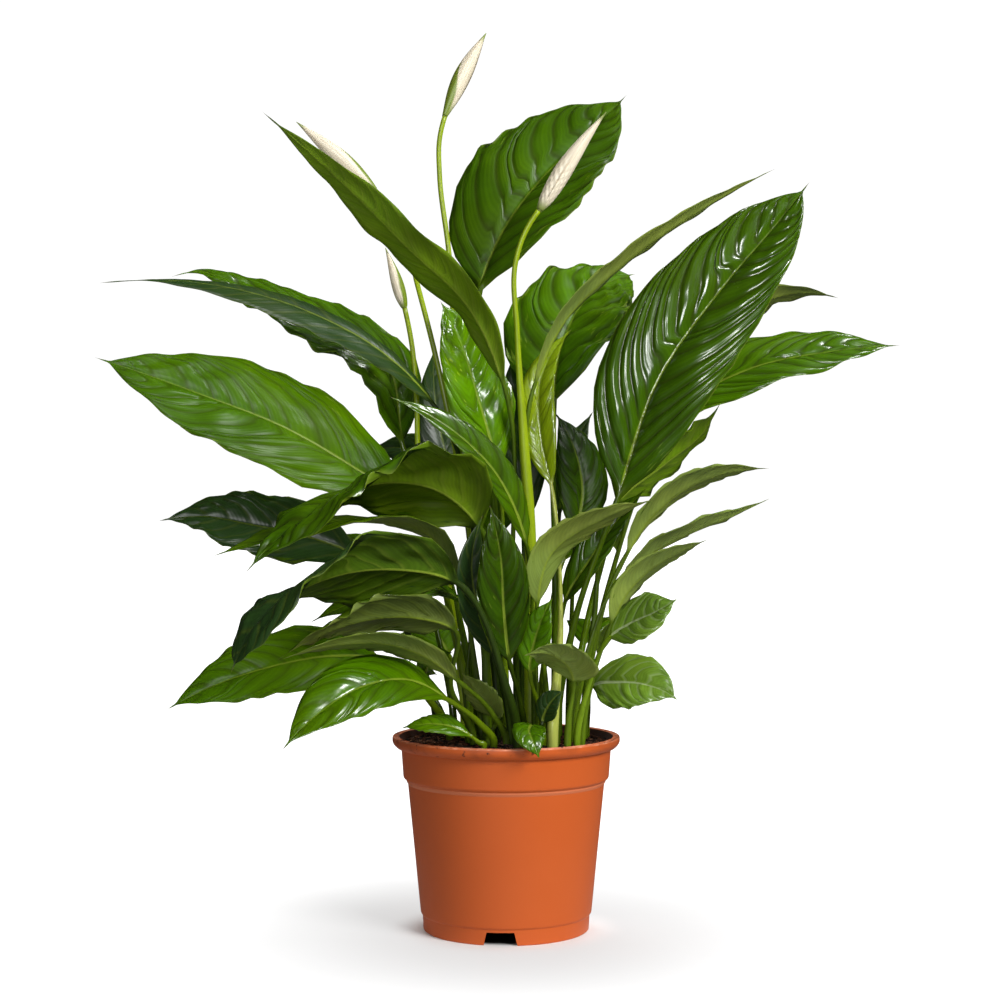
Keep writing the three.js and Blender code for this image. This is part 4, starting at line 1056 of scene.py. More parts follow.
# Each leaf's name, foot, blade line, width and the ways that its face looks.
LEAVES = [
    Leaf("leaf_01", (8, 4), [(-1, -25, 402), (-29, -45, 462), (-68, -65, 498), (-113, -85, 541),
         (-170, -105, 590)], 40, ((0.5, 0.6, 0.6), (0.4, 0.7, 0.6)), tail=1.2, wave=(2, 4, 0),
         light=1.1, satin=True),
    Leaf("leaf_02", (-4, 14), [(-20, 25, 480), (-1, 38, 528), (30, 52, 571), (65, 64, 606),
         (95, 70, 638)], 118, ((-0.45, -0.8, 0.35), (-0.5, -0.7, 0.4)), shoulder=0.46, tail=0.9,
         fold=0.22, wave=(2, 3, 1), ruffle=0.008, puff=1.1, pucker=0.3, satin=True),
    Leaf("leaf_03", (38, 22), [(37, 40, 397), (44, 62, 441), (66, 88, 481), (105, 120, 503)],
         99, ((-0.45, -0.7, 0.45), (-0.1, -0.7, 0.65)), tail=0.9, fold=0.22, wave=(3, 4, 0),
         puff=1.3, ruffle=0.02, pucker=1.8, light=1.65, satin=True),
    Leaf("leaf_04", (22, 2), [(20, -8, 402), (42, -12, 451), (85, -18, 493), (144, -24, 534),
         (197, -28, 563)], 31, ((-0.7, 0.25, 0.6), (-0.5, 0.3, 0.8)), fold=0.2, tone=Tone.OLIVE),
    Leaf("leaf_05", (36, -40), [(81, -42, 321), (111, -40, 408), (158, -36, 475),
         (202, -32, 527), (223, -30, 554)], 91, ((-0.3, -0.95, 0.2), (-0.3, -0.9, 0.3)),
         tail=0.76, fold=0.2, wave=(1.5, 3, 0), puff=1.7, ruffle=0.005,
         light=0.82, slender=0.93),
    Leaf("leaf_06", (51, 8), [(112, 34, 372), (148, 30, 401), (193, 25, 422), (244, 20, 432),
         (298, 16, 437)], 56, ((-0.4, -0.7, 0.6), (-0.1, -0.7, 0.7)), via=(74, 54, 268),
         tail=0.95, fold=0.15, wave=(2, 3, 2), puff=1.1, light=1.25),
    Leaf("leaf_07", (60, 28), [(145, 78, 413), (181, 80, 461), (220, 80, 482), (262, 76, 479)],
         33, ((-0.5, 0.4, 0.7), (0, 0.5, 0.85)), tone=Tone.OLIVE, ruffle=0.02, light=0.85),
    Leaf("leaf_08", (58, -6), [(84, 22, 318), (121, 36, 347), (153, 50, 373), (168, 58, 398)],
         54, ((-0.4, 0.6, 0.6), (-0.6, 0.3, 0.7)), wave=(4, 4, 0)),
    Leaf("leaf_09", (50, -18), [(89, -12, 279), (107, -18, 307), (136, -24, 330),
         (164, -30, 340), (192, -34, 343)], 39, ((-0.7, 0.35, 0.6), (0.1, 0.4, 0.9)), fold=0.2,
         tone=Tone.OLIVE, light=1.25),
    Leaf("leaf_10", (46, -30), [(85, -30, 264), (106, -36, 281), (134, -46, 296),
         (160, -54, 307), (189, -60, 321)], 32, ((-0.6, 0.35, 0.7), (-0.3, 0.35, 0.9)),
         fold=0.25, wave=(1.5, 3, 0), tone=Tone.OLIVE, light=1.25),
    Leaf("leaf_11", (55, -40), [(76, -50, 230), (87, -56, 253), (103, -64, 270),
         (122, -74, 282), (142, -84, 292)], 36, ((-0.6, 0.45, 0.6), (-0.3, 0.5, 0.8)), fold=0.2,
         tone=Tone.OLIVE, light=1.2),
    Leaf("leaf_12", (51, -48), [(74, -70, 222), (89, -80, 233), (104, -92, 241),
         (119, -100, 251)], 40, ((-0.4, -0.7, 0.6), (-0.2, -0.8, 0.55)), shoulder=0.45,
         tone=Tone.YOUNG, puff=1.2, light=1.45),
    Leaf("leaf_13", (62, 18), [(65, 8, 179), (83, -8, 184), (101, -22, 184), (115, -31, 180),
         (125, -38, 174)], 46, ((-0.05, -0.9, 0.45), (0.2, -0.9, 0.4)), shoulder=0.45, tail=1.1,
         slender=0.5, tone=Tone.YOUNG, puff=1.2, pucker=1.8, light=1.45),
    Leaf("leaf_14", (-27, -8), [(-70, -4, 313), (-115, -12, 345), (-163, -22, 373),
         (-226, -32, 398), (-300, -40, 424)], 87, ((0.3, -0.75, 0.6), (0.2, -0.85, 0.5)),
         shoulder=0.42, tail=0.95, wave=(1.5, 3, 0), tone=Tone.BRIGHT, puff=0.8, ruffle=0.01,
         pucker=1.4, light=0.95, satin=True),
    Leaf("leaf_15", (-6, -8), [(-51, -12, 387), (-88, -14, 426), (-144, -17, 458),
         (-208, -20, 477), (-255, -21, 482), (-300, -22, 480)], 38, ((0.4, -0.5, 0.7),
         (0, -0.5, 0.9)), tail=2.4, curl=0.3, tone=Tone.DARK, puff=0.6),
    Leaf("leaf_16", (-24, 20), [(-79, 30, 362), (-93, 36, 426), (-142, 38, 456),
         (-197, 38, 481), (-238, 36, 495), (-256, 34, 491)], 67, ((0.6, -0.6, 0.5),
         (0.2, -0.5, 0.8)), shoulder=0.32, curl=0.1, wave=(2, 4, 0), ruffle=0.02, pucker=1.6,
         light=1.3),
    Leaf("leaf_17", (0, -22), [(-7, -16, 344), (-21, -14, 395), (-34, -10, 437),
         (-49, -10, 468)], 52, ((0.3, -0.85, 0.4), (0.3, -0.85, 0.4)), tail=0.8, fold=0.2,
         wave=(1.5, 3, 0), tone=Tone.BRIGHT, pucker=3, puff=2, light=1.45),
    Leaf("leaf_18", (21, -22), [(15, -38, 286), (-10, -46, 342), (-39, -54, 370), (-84, -62, 394)],
         28, ((0.4, -0.8, 0.4), (0.3, -0.7, 0.6)), fold=0.3),
    Leaf("leaf_19", (-14, -28), [(-19, -48, 300), (-51, -66, 328), (-89, -84, 332),
         (-137, -104, 309), (-180, -122, 269)], 102, ((0.25, 0.8, 0.5), (-0.4, -0.6, 0.6)),
         shoulder=0.3, curl=0.1, wave=(4, 4, 0), ruffle=0.02, pucker=1.6, light=0.9),
    Leaf("leaf_20", (-18, -18), [(-35, -34, 258), (-55, -40, 294), (-98, -48, 304),
         (-154, -66, 296), (-208, -84, 280)], 52, ((0.5, 0.5, 0.7), (-0.1, -0.5, 0.9)),
         tone=Tone.OLIVE, light=0.95),
    Leaf("leaf_21", (-53, 37), [(-114, 36, 276), (-154, 34, 292), (-196, 30, 301),
         (-229, 26, 307), (-264, 22, 304)], 65, ((0.3, -0.75, 0.6), (-0.1, -0.7, 0.7)),
         wave=(2, 3, 0), tone=Tone.DARK, ruffle=0.02, pucker=1.5, light=1.1),
    Leaf("leaf_23", (8, -52), [(-35, -90, 262), (-74, -112, 272), (-118, -134, 268),
         (-157, -152, 247), (-184, -162, 204)], 82, ((0.25, 0.85, 0.45), (-0.7, -0.6, 0.3)),
         via=(-1, -71, 190), tail=0.6, curl=0.1, wave=(2, 4, 0), tone=Tone.DARK, ruffle=0.015,
         pucker=1.5),
    Leaf("leaf_24", (-28, -22), [(-30, -20, 241), (-54, -32, 256), (-88, -48, 252),
         (-141, -66, 232)], 40, ((0.4, -0.3, 0.9), (-0.2, -0.5, 0.9))),
    Leaf("leaf_25", (-24, -37), [(-37, -76, 228), (-61, -92, 237), (-97, -112, 237),
         (-128, -128, 227), (-155, -140, 212)], 54, ((0.25, 0.8, 0.5), (-0.3, 0.1, 0.9)),
         via=(-40, -54, 184), wave=(2, 3, 0), tone=Tone.OLIVE, ruffle=0.015, light=0.65),
    Leaf("leaf_26", (0, -43), [(-34, -82, 192), (-54, -98, 209), (-84, -118, 221),
         (-117, -136, 221), (-151, -150, 213)], 34, ((0.35, 0.65, 0.6), (0, 0.4, 0.9)),
         tone=Tone.OLIVE, light=0.95),
    Leaf("leaf_27", (-42, -6), [(-92, -34, 203), (-128, -42, 206), (-171, -52, 199),
         (-213, -60, 185), (-243, -66, 170)], 60, ((0.2, -0.7, 0.7), (-0.2, -0.7, 0.7)),
         tail=1.05, wave=(1.5, 3, 0), tone=Tone.BRIGHT, light=0.88, satin=True),
    Leaf("leaf_28", (-9, -51), [(-42, -72, 178), (-69, -98, 194), (-99, -126, 192),
         (-128, -150, 175), (-149, -168, 154)], 50, ((0.3, -0.6, 0.7), (-0.4, -0.8, 0.4)),
         shoulder=0.5, tone=Tone.BRIGHT, ruffle=0.006, puff=1.2, pucker=1.3),
    Leaf("leaf_29", (-13, -38), [(-7, -42, 160), (-15, -46, 172), (-24, -48, 184), (-32, -50, 195)],
         34, ((0.5, 0.6, 0.5), (0.5, 0.6, 0.5)), tone=Tone.OLIVE),
    Leaf("leaf_30", (-16, -59), [(-26, -62, 151), (-42, -64, 158), (-59, -62, 159),
         (-75, -58, 156)], 22, ((0.3, -0.5, 0.8), (-0.2, -0.5, 0.8)), tone=Tone.BRIGHT,
         light=1.1),
    Leaf("leaf_31", (17, -54), [(19, -62, 157), (16, -82, 156), (19, -91, 149), (23, -94, 139)],
         24, ((0, -0.4, 0.9), (0, -1, 0.2)), shoulder=0.45, tone=Tone.BRIGHT, light=1.1),
    Leaf("leaf_32", (14, -37), [(2, -60, 205), (-2, -70, 242), (-4, -76, 278), (-12, -78, 317)],
         38, ((0.1, -1, 0.1), (0, -1, 0.1)), fold=0.2, pucker=3, puff=2, light=0.58),
    Leaf("leaf_33", (27, -40), [(17, -56, 196), (21, -60, 221), (27, -64, 238), (33, -66, 250)],
         26, ((-0.3, -0.9, 0.2), (-0.3, -0.9, 0.3)), fold=0.2, tone=Tone.BRIGHT, pucker=1.5,
         light=1.1),
    Leaf("leaf_34", (44, -55), [(48, -66, 190), (40, -86, 206), (27, -99, 213),
         (12, -108, 212)], 44, ((0.4, 0.8, 0.4), (0.3, 0.7, 0.5)), shoulder=0.25, tail=1.25,
         tone=Tone.OLIVE, light=1.3),
    Leaf("leaf_35", (31, -28), [(22, -60, 244), (32, -74, 282), (66, -90, 306),
         (102, -104, 320)], 36, ((-0.5, 0.65, 0.45), (-0.3, 0.5, 0.8)), fold=0.15,
         tone=Tone.OLIVE, ruffle=0.015, light=1.25),
    Leaf("leaf_36", (40, 10), [(44, 6, 242), (63, 2, 275), (84, 0, 305), (105, -2, 329)], 30,
         ((-0.5, -0.7, 0.4), (-0.4, -0.7, 0.5)), fold=0.3, light=0.85),
    Leaf("leaf_37", (48, 34), [(54, 36, 293), (59, 42, 328), (53, 48, 359), (38, 56, 388)], 40,
         ((0, -0.9, 0.3), (0.2, -0.8, 0.4)), light=0.75, satin=True),
    Leaf("leaf_38", (38, 44), [(42, 64, 310), (46, 70, 336), (55, 78, 363), (69, 84, 390)], 26,
         ((-0.3, -0.8, 0.4), (-0.4, -0.7, 0.5)), tone=Tone.DARK, light=1.2),
    Leaf("leaf_39", (33, -61), [(34, 0, 330), (26, 6, 370), (27, 14, 413), (50, 22, 450)], 28,
         ((-0.3, -0.9, 0.1), (-0.3, -0.9, 0.1)), via=(40, -30, 236), fold=0.3, sheath=1.72,
         tone=Tone.PALE, light=1.2),
    Leaf("leaf_40", (-14, 40), [(-30, 60, 325), (-55, 72, 350), (-84, 84, 361), (-111, 92, 358)],
         44, ((0.3, -0.7, 0.6), (0, -0.7, 0.7)), tone=Tone.DARK),
    Leaf("leaf_41", (-26, 34), [(-30, 45, 300), (-46, 58, 352), (-56, 74, 402), (-57, 86, 443)], 38,
         ((0.2, -0.9, 0.3), (0.1, -0.9, 0.3)), tone=Tone.DARK),
    Leaf("leaf_42", (12, 38), [(14, 60, 300), (13, 74, 350), (11, 86, 400), (9, 98, 450)], 40,
         ((0, -0.9, 0.3), (0, -0.9, 0.3)), tone=Tone.DARK),
    Leaf("leaf_43", (3, -33), [(-9, -52, 207), (-22, -58, 247), (-25, -62, 277), (-17, -64, 309)],
         28, ((0.4, -0.9, 0.1), (0.4, -0.9, 0.1)), tone=Tone.DARK),
    Leaf("leaf_44", (24, -60), [(26, -59, 160), (30, -64, 172), (35, -68, 179), (41, -71, 184)], 20,
         ((-0.3, -0.8, 0.4), (-0.3, -0.8, 0.4)), tone=Tone.DARK),
    Leaf("leaf_45", (-44, 10), [(-62, 14, 185), (-57, 4, 197), (-49, -6, 203), (-40, -14, 207)], 20,
         ((0.3, -0.8, 0.5), (0.3, -0.8, 0.5))),
    Leaf("leaf_46", (-40, 34), [(-72, 96, 262), (-96, 126, 286), (-124, 152, 286),
         (-150, 174, 262)], 56, ((0.3, -0.4, 0.8), (-0.4, 0.4, 0.8)), wave=(2, 3, 0)),
    Leaf("leaf_47", (-10, 54), [(-10, 88, 288), (-14, 114, 336), (-22, 142, 376), (-32, 168, 400)],
         62, ((0.1, -0.7, 0.6), (0, -0.5, 0.9)), fold=0.15, wave=(2, 3, 0)),
    Leaf("leaf_48", (26, 56), [(46, 98, 272), (64, 124, 296), (80, 146, 296), (94, 168, 274)], 54,
         ((-0.3, -0.4, 0.8), (0.4, 0.4, 0.8)), wave=(2, 3, 0), tone=Tone.BRIGHT),
    Leaf("leaf_49", (-30, 50), [(-46, 92, 198), (-58, 118, 212), (-70, 142, 206), (-80, 162, 184)],
         44, ((0.2, -0.5, 0.8), (-0.2, 0.5, 0.8)), tone=Tone.BRIGHT),
    Leaf("leaf_50", (50, 48), [(62, 84, 206), (69, 106, 222), (73, 130, 214), (76, 152, 192)], 42,
         ((-0.3, -0.5, 0.8), (0.3, 0.5, 0.8))),
]


# --------------------------------------------------------------------- flowers


@dataclass
class Flower:
    """A flower on its stalk: a white leaf still rolled round the spike.

    stalk and hood are the points of its two lines. girth is the hood's width, a smaller
    fullest brings its widest part nearer the stalk, and plump swells it. keel turns the
    green stripe, in radians, and keel_width and keel_end size it. sheath is how many
    times thicker the stalk is at its foot, and bumps lets the spike press through.
    """

    name: str
    foot: tuple[float, float]
    stalk: list[Point]
    hood: list[Point]
    girth: float
    keel: float
    sheath: float = 1.0
    keel_width: float = 0.6
    keel_end: float = 0.8
    fullest: float = 0.72
    plump: float = 1.0
    bumps: bool = False

    FACE = (0.3, -0.9, 0.1)
    STALK_RADIUS = 2.4
    STALK_TOP = 1.9
    STALK_SIDES = 12
    STALK_ROW = 5
    COLUMNS = 54
    ROWS = 132
    FLORETS = 26

    def build(self, green: bpy.types.Material, cream: bpy.types.Material) -> list[bpy.types.Object]:
        """Builds the stalk and the hood."""
        return [self.build_stalk(green), self.build_hood(cream)]

    def build_stalk(self, green: bpy.types.Material) -> bpy.types.Object:
        """Wraps a grid round the stalk's line."""
        line = rooted_line(self.foot, None, self.stalk)
        rows = int(line.end / self.STALK_ROW)
        piece, column, row = sheet(f"{self.name}_stalk_fine", self.STALK_SIDES, rows + 2)
        share = np.clip((row - 1) / rows, 0, 1)
        wide = lerp(self.sheath, 1.0, ease(0.45, 0.8, share))
        radius = wide * lerp(self.STALK_RADIUS, self.STALK_TOP, share)
        radius = np.where((row == 0) | (row == rows + 2), 0.0, radius)
        turn = 2 * np.pi * (column % self.STALK_SIDES) / self.STALK_SIDES
        self.wrap(piece, line, share * line.end, turn, radius)
        return smooth(dress(piece, green))

    def wrap(self, piece: bpy.types.Object, line: GrowthLine, distance: np.ndarray,
             turn: np.ndarray, radius: np.ndarray) -> None:
        """Puts a grid's points round a line at an angle and a radius, and closes it."""
        face = np.tile(np.array(self.FACE), (len(distance), 1))
        line.wrap(piece, distance, face, radius * np.cos(turn), radius * np.sin(turn))
        merge_doubles(piece)

    def build_hood(self, cream: bpy.types.Material) -> bpy.types.Object:
        """Rolls the white leaf: its edge overlaps in a step that winds to the tip."""
        line = GrowthLine(np.array(self.hood, float))
        piece, column, row = sheet(f"{self.name}_hood_fine", self.COLUMNS, self.ROWS)
        t = np.clip((row - 1) / (self.ROWS - 2), 0, 1)
        share = column / self.COLUMNS
        wind = 2 * np.pi * (share + 0.06 * t)
        full = np.sin(np.pi * t**self.fullest) ** 1.1
        radius = self.STALK_TOP + 0.5 * self.plump * self.girth * full - (self.STALK_TOP - 0.25) * t
        roll = 1 + 0.16 * (share - 0.5) * ease(0.02, 0.2, t) * (1 - ease(0.85, 1.0, t))
        radius = radius * roll
        if self.bumps:
            radius += self.spike_relief(t, wind)
        radius = np.where((row == 0) | (row == self.ROWS), 0.0, radius)
        write_attribute(piece, "grow", self.colouring(t, wind))
        self.wrap(piece, line, lerp(-1.2, line.end, t), wind + self.keel, radius)
        return smooth(dress(piece, cream))

    def spike_relief(self, t: np.ndarray, turn: np.ndarray) -> np.ndarray:
        """The spike's florets, pressed through the lower half of the hood."""
        along = t * self.FLORETS
        bump = np.cos(8 * turn + np.pi * np.floor(along)) * np.sin(np.pi * (along % 1.0))
        return 0.3 * bump * ease(0.05, 0.1, t) * (1 - ease(0.4, 0.55, t))

    def colouring(self, t: np.ndarray, turn: np.ndarray) -> np.ndarray:
        """How green each point is, its share of the length, and the angle round the hood."""
        width = self.keel_width * (1 - ease(0.3, 1.0, t / self.keel_end)) + 0.1
        rib = 1 - ease(0.8, 1.15, np.abs(turn - np.pi) / width)
        rib = rib * (1 - ease(0.9, 1.0, t / self.keel_end))
        base = 1 - ease(0.02, 0.1 + 0.1 * self.keel_width, t)
        tip = ease(0.86, 0.96, t)
        green = np.clip(rib + 0.9 * base + 0.9 * tip, 0, 1)
        return np.column_stack((green, t, turn))


# Each flower's name, foot, stalk, hood, girth and keel.
FLOWERS = [
    Flower("flower_1", (-8, 2), [(-32, -4, 330), (-43, -2, 507), (-50, 4, 565), (-50, 7, 592),
           (-46, 8, 609)], [(-46, 8, 609.5), (-32, 12, 642), (-15, 14, 673)], 8, -0.35,
           keel_width=1.25, keel_end=0.62, fullest=0.95, plump=1.35),
    Flower("flower_2", (-14, 17), [(-43, 8, 382), (-53, 10, 428), (-67, 8, 483), (-81, 6, 534),
           (-98, 4, 552)], [(-98.4, 4, 552.5), (-124, 2, 576), (-157, 0, 603)], 10.5, -2.5,
           keel_end=0.55, fullest=0.85),
    Flower("flower_3", (18, -14), [(18, -16, 287), (13, -20, 365), (8, -26, 444), (7, -30, 495),
           (12, -31, 512), (24, -33, 532)], [(24.4, -33, 532.5), (47, -36, 569), (73, -38, 603)],
           10.5, 1.57, sheath=2.0, keel_width=0.3, bumps=True),
    Flower("flower_4", (-32, 5), [(-66, 0, 359), (-67, 0, 395), (-71, 0, 439), (-76, -2, 464)],
           [(-76.2, -2, 464.5), (-83, -4, 488), (-90, -6, 508)], 5.5, -2.4,
           keel_width=0.9, keel_end=0.95, plump=1.2),
]


# ------------------------------------------------------------------------- pot


def inner_radius(z: float) -> float:
    """The radius of the pot's inside at a height, in millimetres."""
    if z > COLLAR_BOTTOM:
        up = (z - COLLAR_BOTTOM) / (POT_HEIGHT - COLLAR_BOTTOM)
        return COLLAR_FOOT_RADIUS + (COLLAR_TOP_RADIUS - COLLAR_FOOT_RADIUS) * up - WALL
    up = (z - FOOT_HEIGHT) / (COLLAR_BOTTOM - FOOT_HEIGHT)
    return BODY_FOOT_RADIUS + (BODY_TOP_RADIUS - BODY_FOOT_RADIUS) * up - WALL


def rounded(corners: Iterable[Point], steps: int = 4) -> list[tuple[float, float]]:
    """A closed outline with rounded corners.

    Args:
        corners: Each corner's radius from the axis, height and rounding.
        steps: Straight pieces to a rounding.

    Returns:
        The outline's points.
    """
    ring = list(corners)
    made = []
    for i, (r, z, size) in enumerate(ring):
        here = np.array((r, z))
        if size <= 0:
            made.append((r, z))
            continue
        back = np.array(ring[i - 1][:2]) - here
        ahead = np.array(ring[(i + 1) % len(ring)][:2]) - here
        reach = min(size, 0.48 * np.linalg.norm(back), 0.48 * np.linalg.norm(ahead))
        start = here + back / np.linalg.norm(back) * reach
        end = here + ahead / np.linalg.norm(ahead) * reach
        for s in np.linspace(0, 1, steps + 1):
            made.append(tuple((1 - s) ** 2 * start + 2 * s * (1 - s) * here + s * s * end))
    return made


@dataclass
class Pot:
    """The moulded nursery pot: foot ring, raised base, body, collar and rolled rim."""

    sides: int = 160
    notch_count: int = 3
    notch_width: float = 25.0
    notch_reach: float = 20.0
    notch_height: float = 9.6
    notch_taper: float = 2.5
    notch_turn: float = -94.0
    drain_count: int = 8
    drain_radius: float = 5.0
    drain_circle: float = 44.0
    drain_sides: int = 24
    drain_reach: float = 20.0
    crisp_over: float = 35.0

    def outline(self) -> list[tuple[float, float, float]]:
        """The wall in section, with the rounding of each corner."""
        under_rim = POT_HEIGHT - RIM_DEPTH
        plate_foot = BASE_PLATE - BASE_PLATE_THICKNESS
        ring_inside = FOOT_RADIUS - FOOT_RING
        return [
            (0, plate_foot, 0), (ring_inside, plate_foot, 1), (ring_inside, 0, 0.6),
            (FOOT_RADIUS, 0, 1.0), (FOOT_RADIUS + 0.6, FOOT_HEIGHT - 0.6, 0.4),
            (BODY_FOOT_RADIUS, FOOT_HEIGHT + 0.8, 1.2),
            (BODY_TOP_RADIUS - 0.2, COLLAR_BOTTOM - 3.4, 0.5),
            (BODY_TOP_RADIUS + 0.9, COLLAR_BOTTOM - 1.6, 0.6),
            (BODY_TOP_RADIUS + 1.0, COLLAR_BOTTOM - 0.4, 0.4),
            (COLLAR_FOOT_RADIUS, COLLAR_BOTTOM + 1.4, 1.2),
            (COLLAR_TOP_RADIUS, under_rim, 1.2),
            (RIM_RADIUS - 3.6, under_rim - 0.2, 0.8), (RIM_RADIUS - 1.0, under_rim + 2.2, 1.6),
            (RIM_RADIUS, under_rim + 4.4, 1.0), (RIM_RADIUS, POT_HEIGHT - 1.0, 0.4),
            (RIM_RADIUS - 0.5, POT_HEIGHT, 0.3), (RIM_RADIUS - 1.2, POT_HEIGHT - 0.4, 0.3),
            (RIM_RADIUS - RIM_WIDTH + 1.0, POT_HEIGHT - 0.8, 0.3),
            (RIM_RADIUS - RIM_WIDTH + 0.5, POT_HEIGHT, 0.3),
            (RIM_RADIUS - RIM_WIDTH, POT_HEIGHT - 0.5, 0.3),
            (inner_radius(under_rim), under_rim, 1.5),
            (inner_radius(COLLAR_BOTTOM + 4), COLLAR_BOTTOM + 4, 2),
            (inner_radius(COLLAR_BOTTOM), COLLAR_BOTTOM, 2),
            (inner_radius(BASE_PLATE + 2), BASE_PLATE + 2, 1),
            (inner_radius(BASE_PLATE) - 2, BASE_PLATE, 1), (0, BASE_PLATE, 0),
        ]

    def build(self, plastic: bpy.types.Material) -> bpy.types.Object:
        """Spins the section round the axis, then cuts the notches and drain holes."""
        section = rounded(self.outline())
        deselect()
        bpy.ops.mesh.primitive_circle_add(vertices=len(section), radius=0.1)
        piece = named("pot_moulded")
        move_to(piece, np.array([(r, 0.0, z) for r, z in section]) * MM)
        bpy.ops.object.mode_set(mode="EDIT")
        bpy.ops.mesh.select_all(action="SELECT")
        bpy.ops.mesh.spin(steps=self.sides, angle=2 * math.pi, center=(0, 0, 0), axis=(0, 0, 1))
        bpy.ops.mesh.select_all(action="SELECT")
        bpy.ops.mesh.remove_doubles(threshold=WELD)
        bpy.ops.mesh.normals_make_consistent(inside=False)
        bpy.ops.object.mode_set(mode="OBJECT")
        for i in range(self.notch_count):
            self.cut(piece, self.notch(math.radians(self.notch_turn + 360 * i / self.notch_count)))
        for i in range(self.drain_count):
            self.cut(piece, self.drain(2 * math.pi * i / self.drain_count))
        return smooth(dress(piece, plastic), self.crisp_over)

    def notch(self, turn: float) -> bpy.types.Object:
        """A block, wider at the floor, that opens the foot ring."""
        deselect()
        bpy.ops.mesh.primitive_cube_add(size=1)
        block = named("notch")
        co = coordinates(block)
        half = np.where(co[:, 2] > 0, self.notch_width / 2 - self.notch_taper, self.notch_width / 2)
        out = FOOT_RADIUS + co[:, 0] * self.notch_reach
        side = np.sign(co[:, 1]) * half
        z = np.where(co[:, 2] > 0, self.notch_height, -1.0)
        x = out * math.cos(turn) - side * math.sin(turn)
        y = out * math.sin(turn) + side * math.cos(turn)
        move_to(block, np.column_stack((x, y, z)) * MM)
        return block

    def drain(self, turn: float) -> bpy.types.Object:
        """A peg that opens a drain hole in the base."""
        deselect()
        centre = Vector((math.cos(turn), math.sin(turn), 0)) * self.drain_circle
        centre.z = BASE_PLATE
        bpy.ops.mesh.primitive_cylinder_add(
            vertices=self.drain_sides, radius=self.drain_radius * MM,
            depth=self.drain_reach * MM, location=centre * MM,
        )
        return named("drain")

    def cut(self, piece: bpy.types.Object, tool: bpy.types.Object) -> None:
        """Takes one block out of the pot."""
        apply(piece, "BOOLEAN", operation="DIFFERENCE", solver="EXACT", object=tool)
        bpy.data.objects.remove(tool)


# ------------------------------------------------------------------------ peat


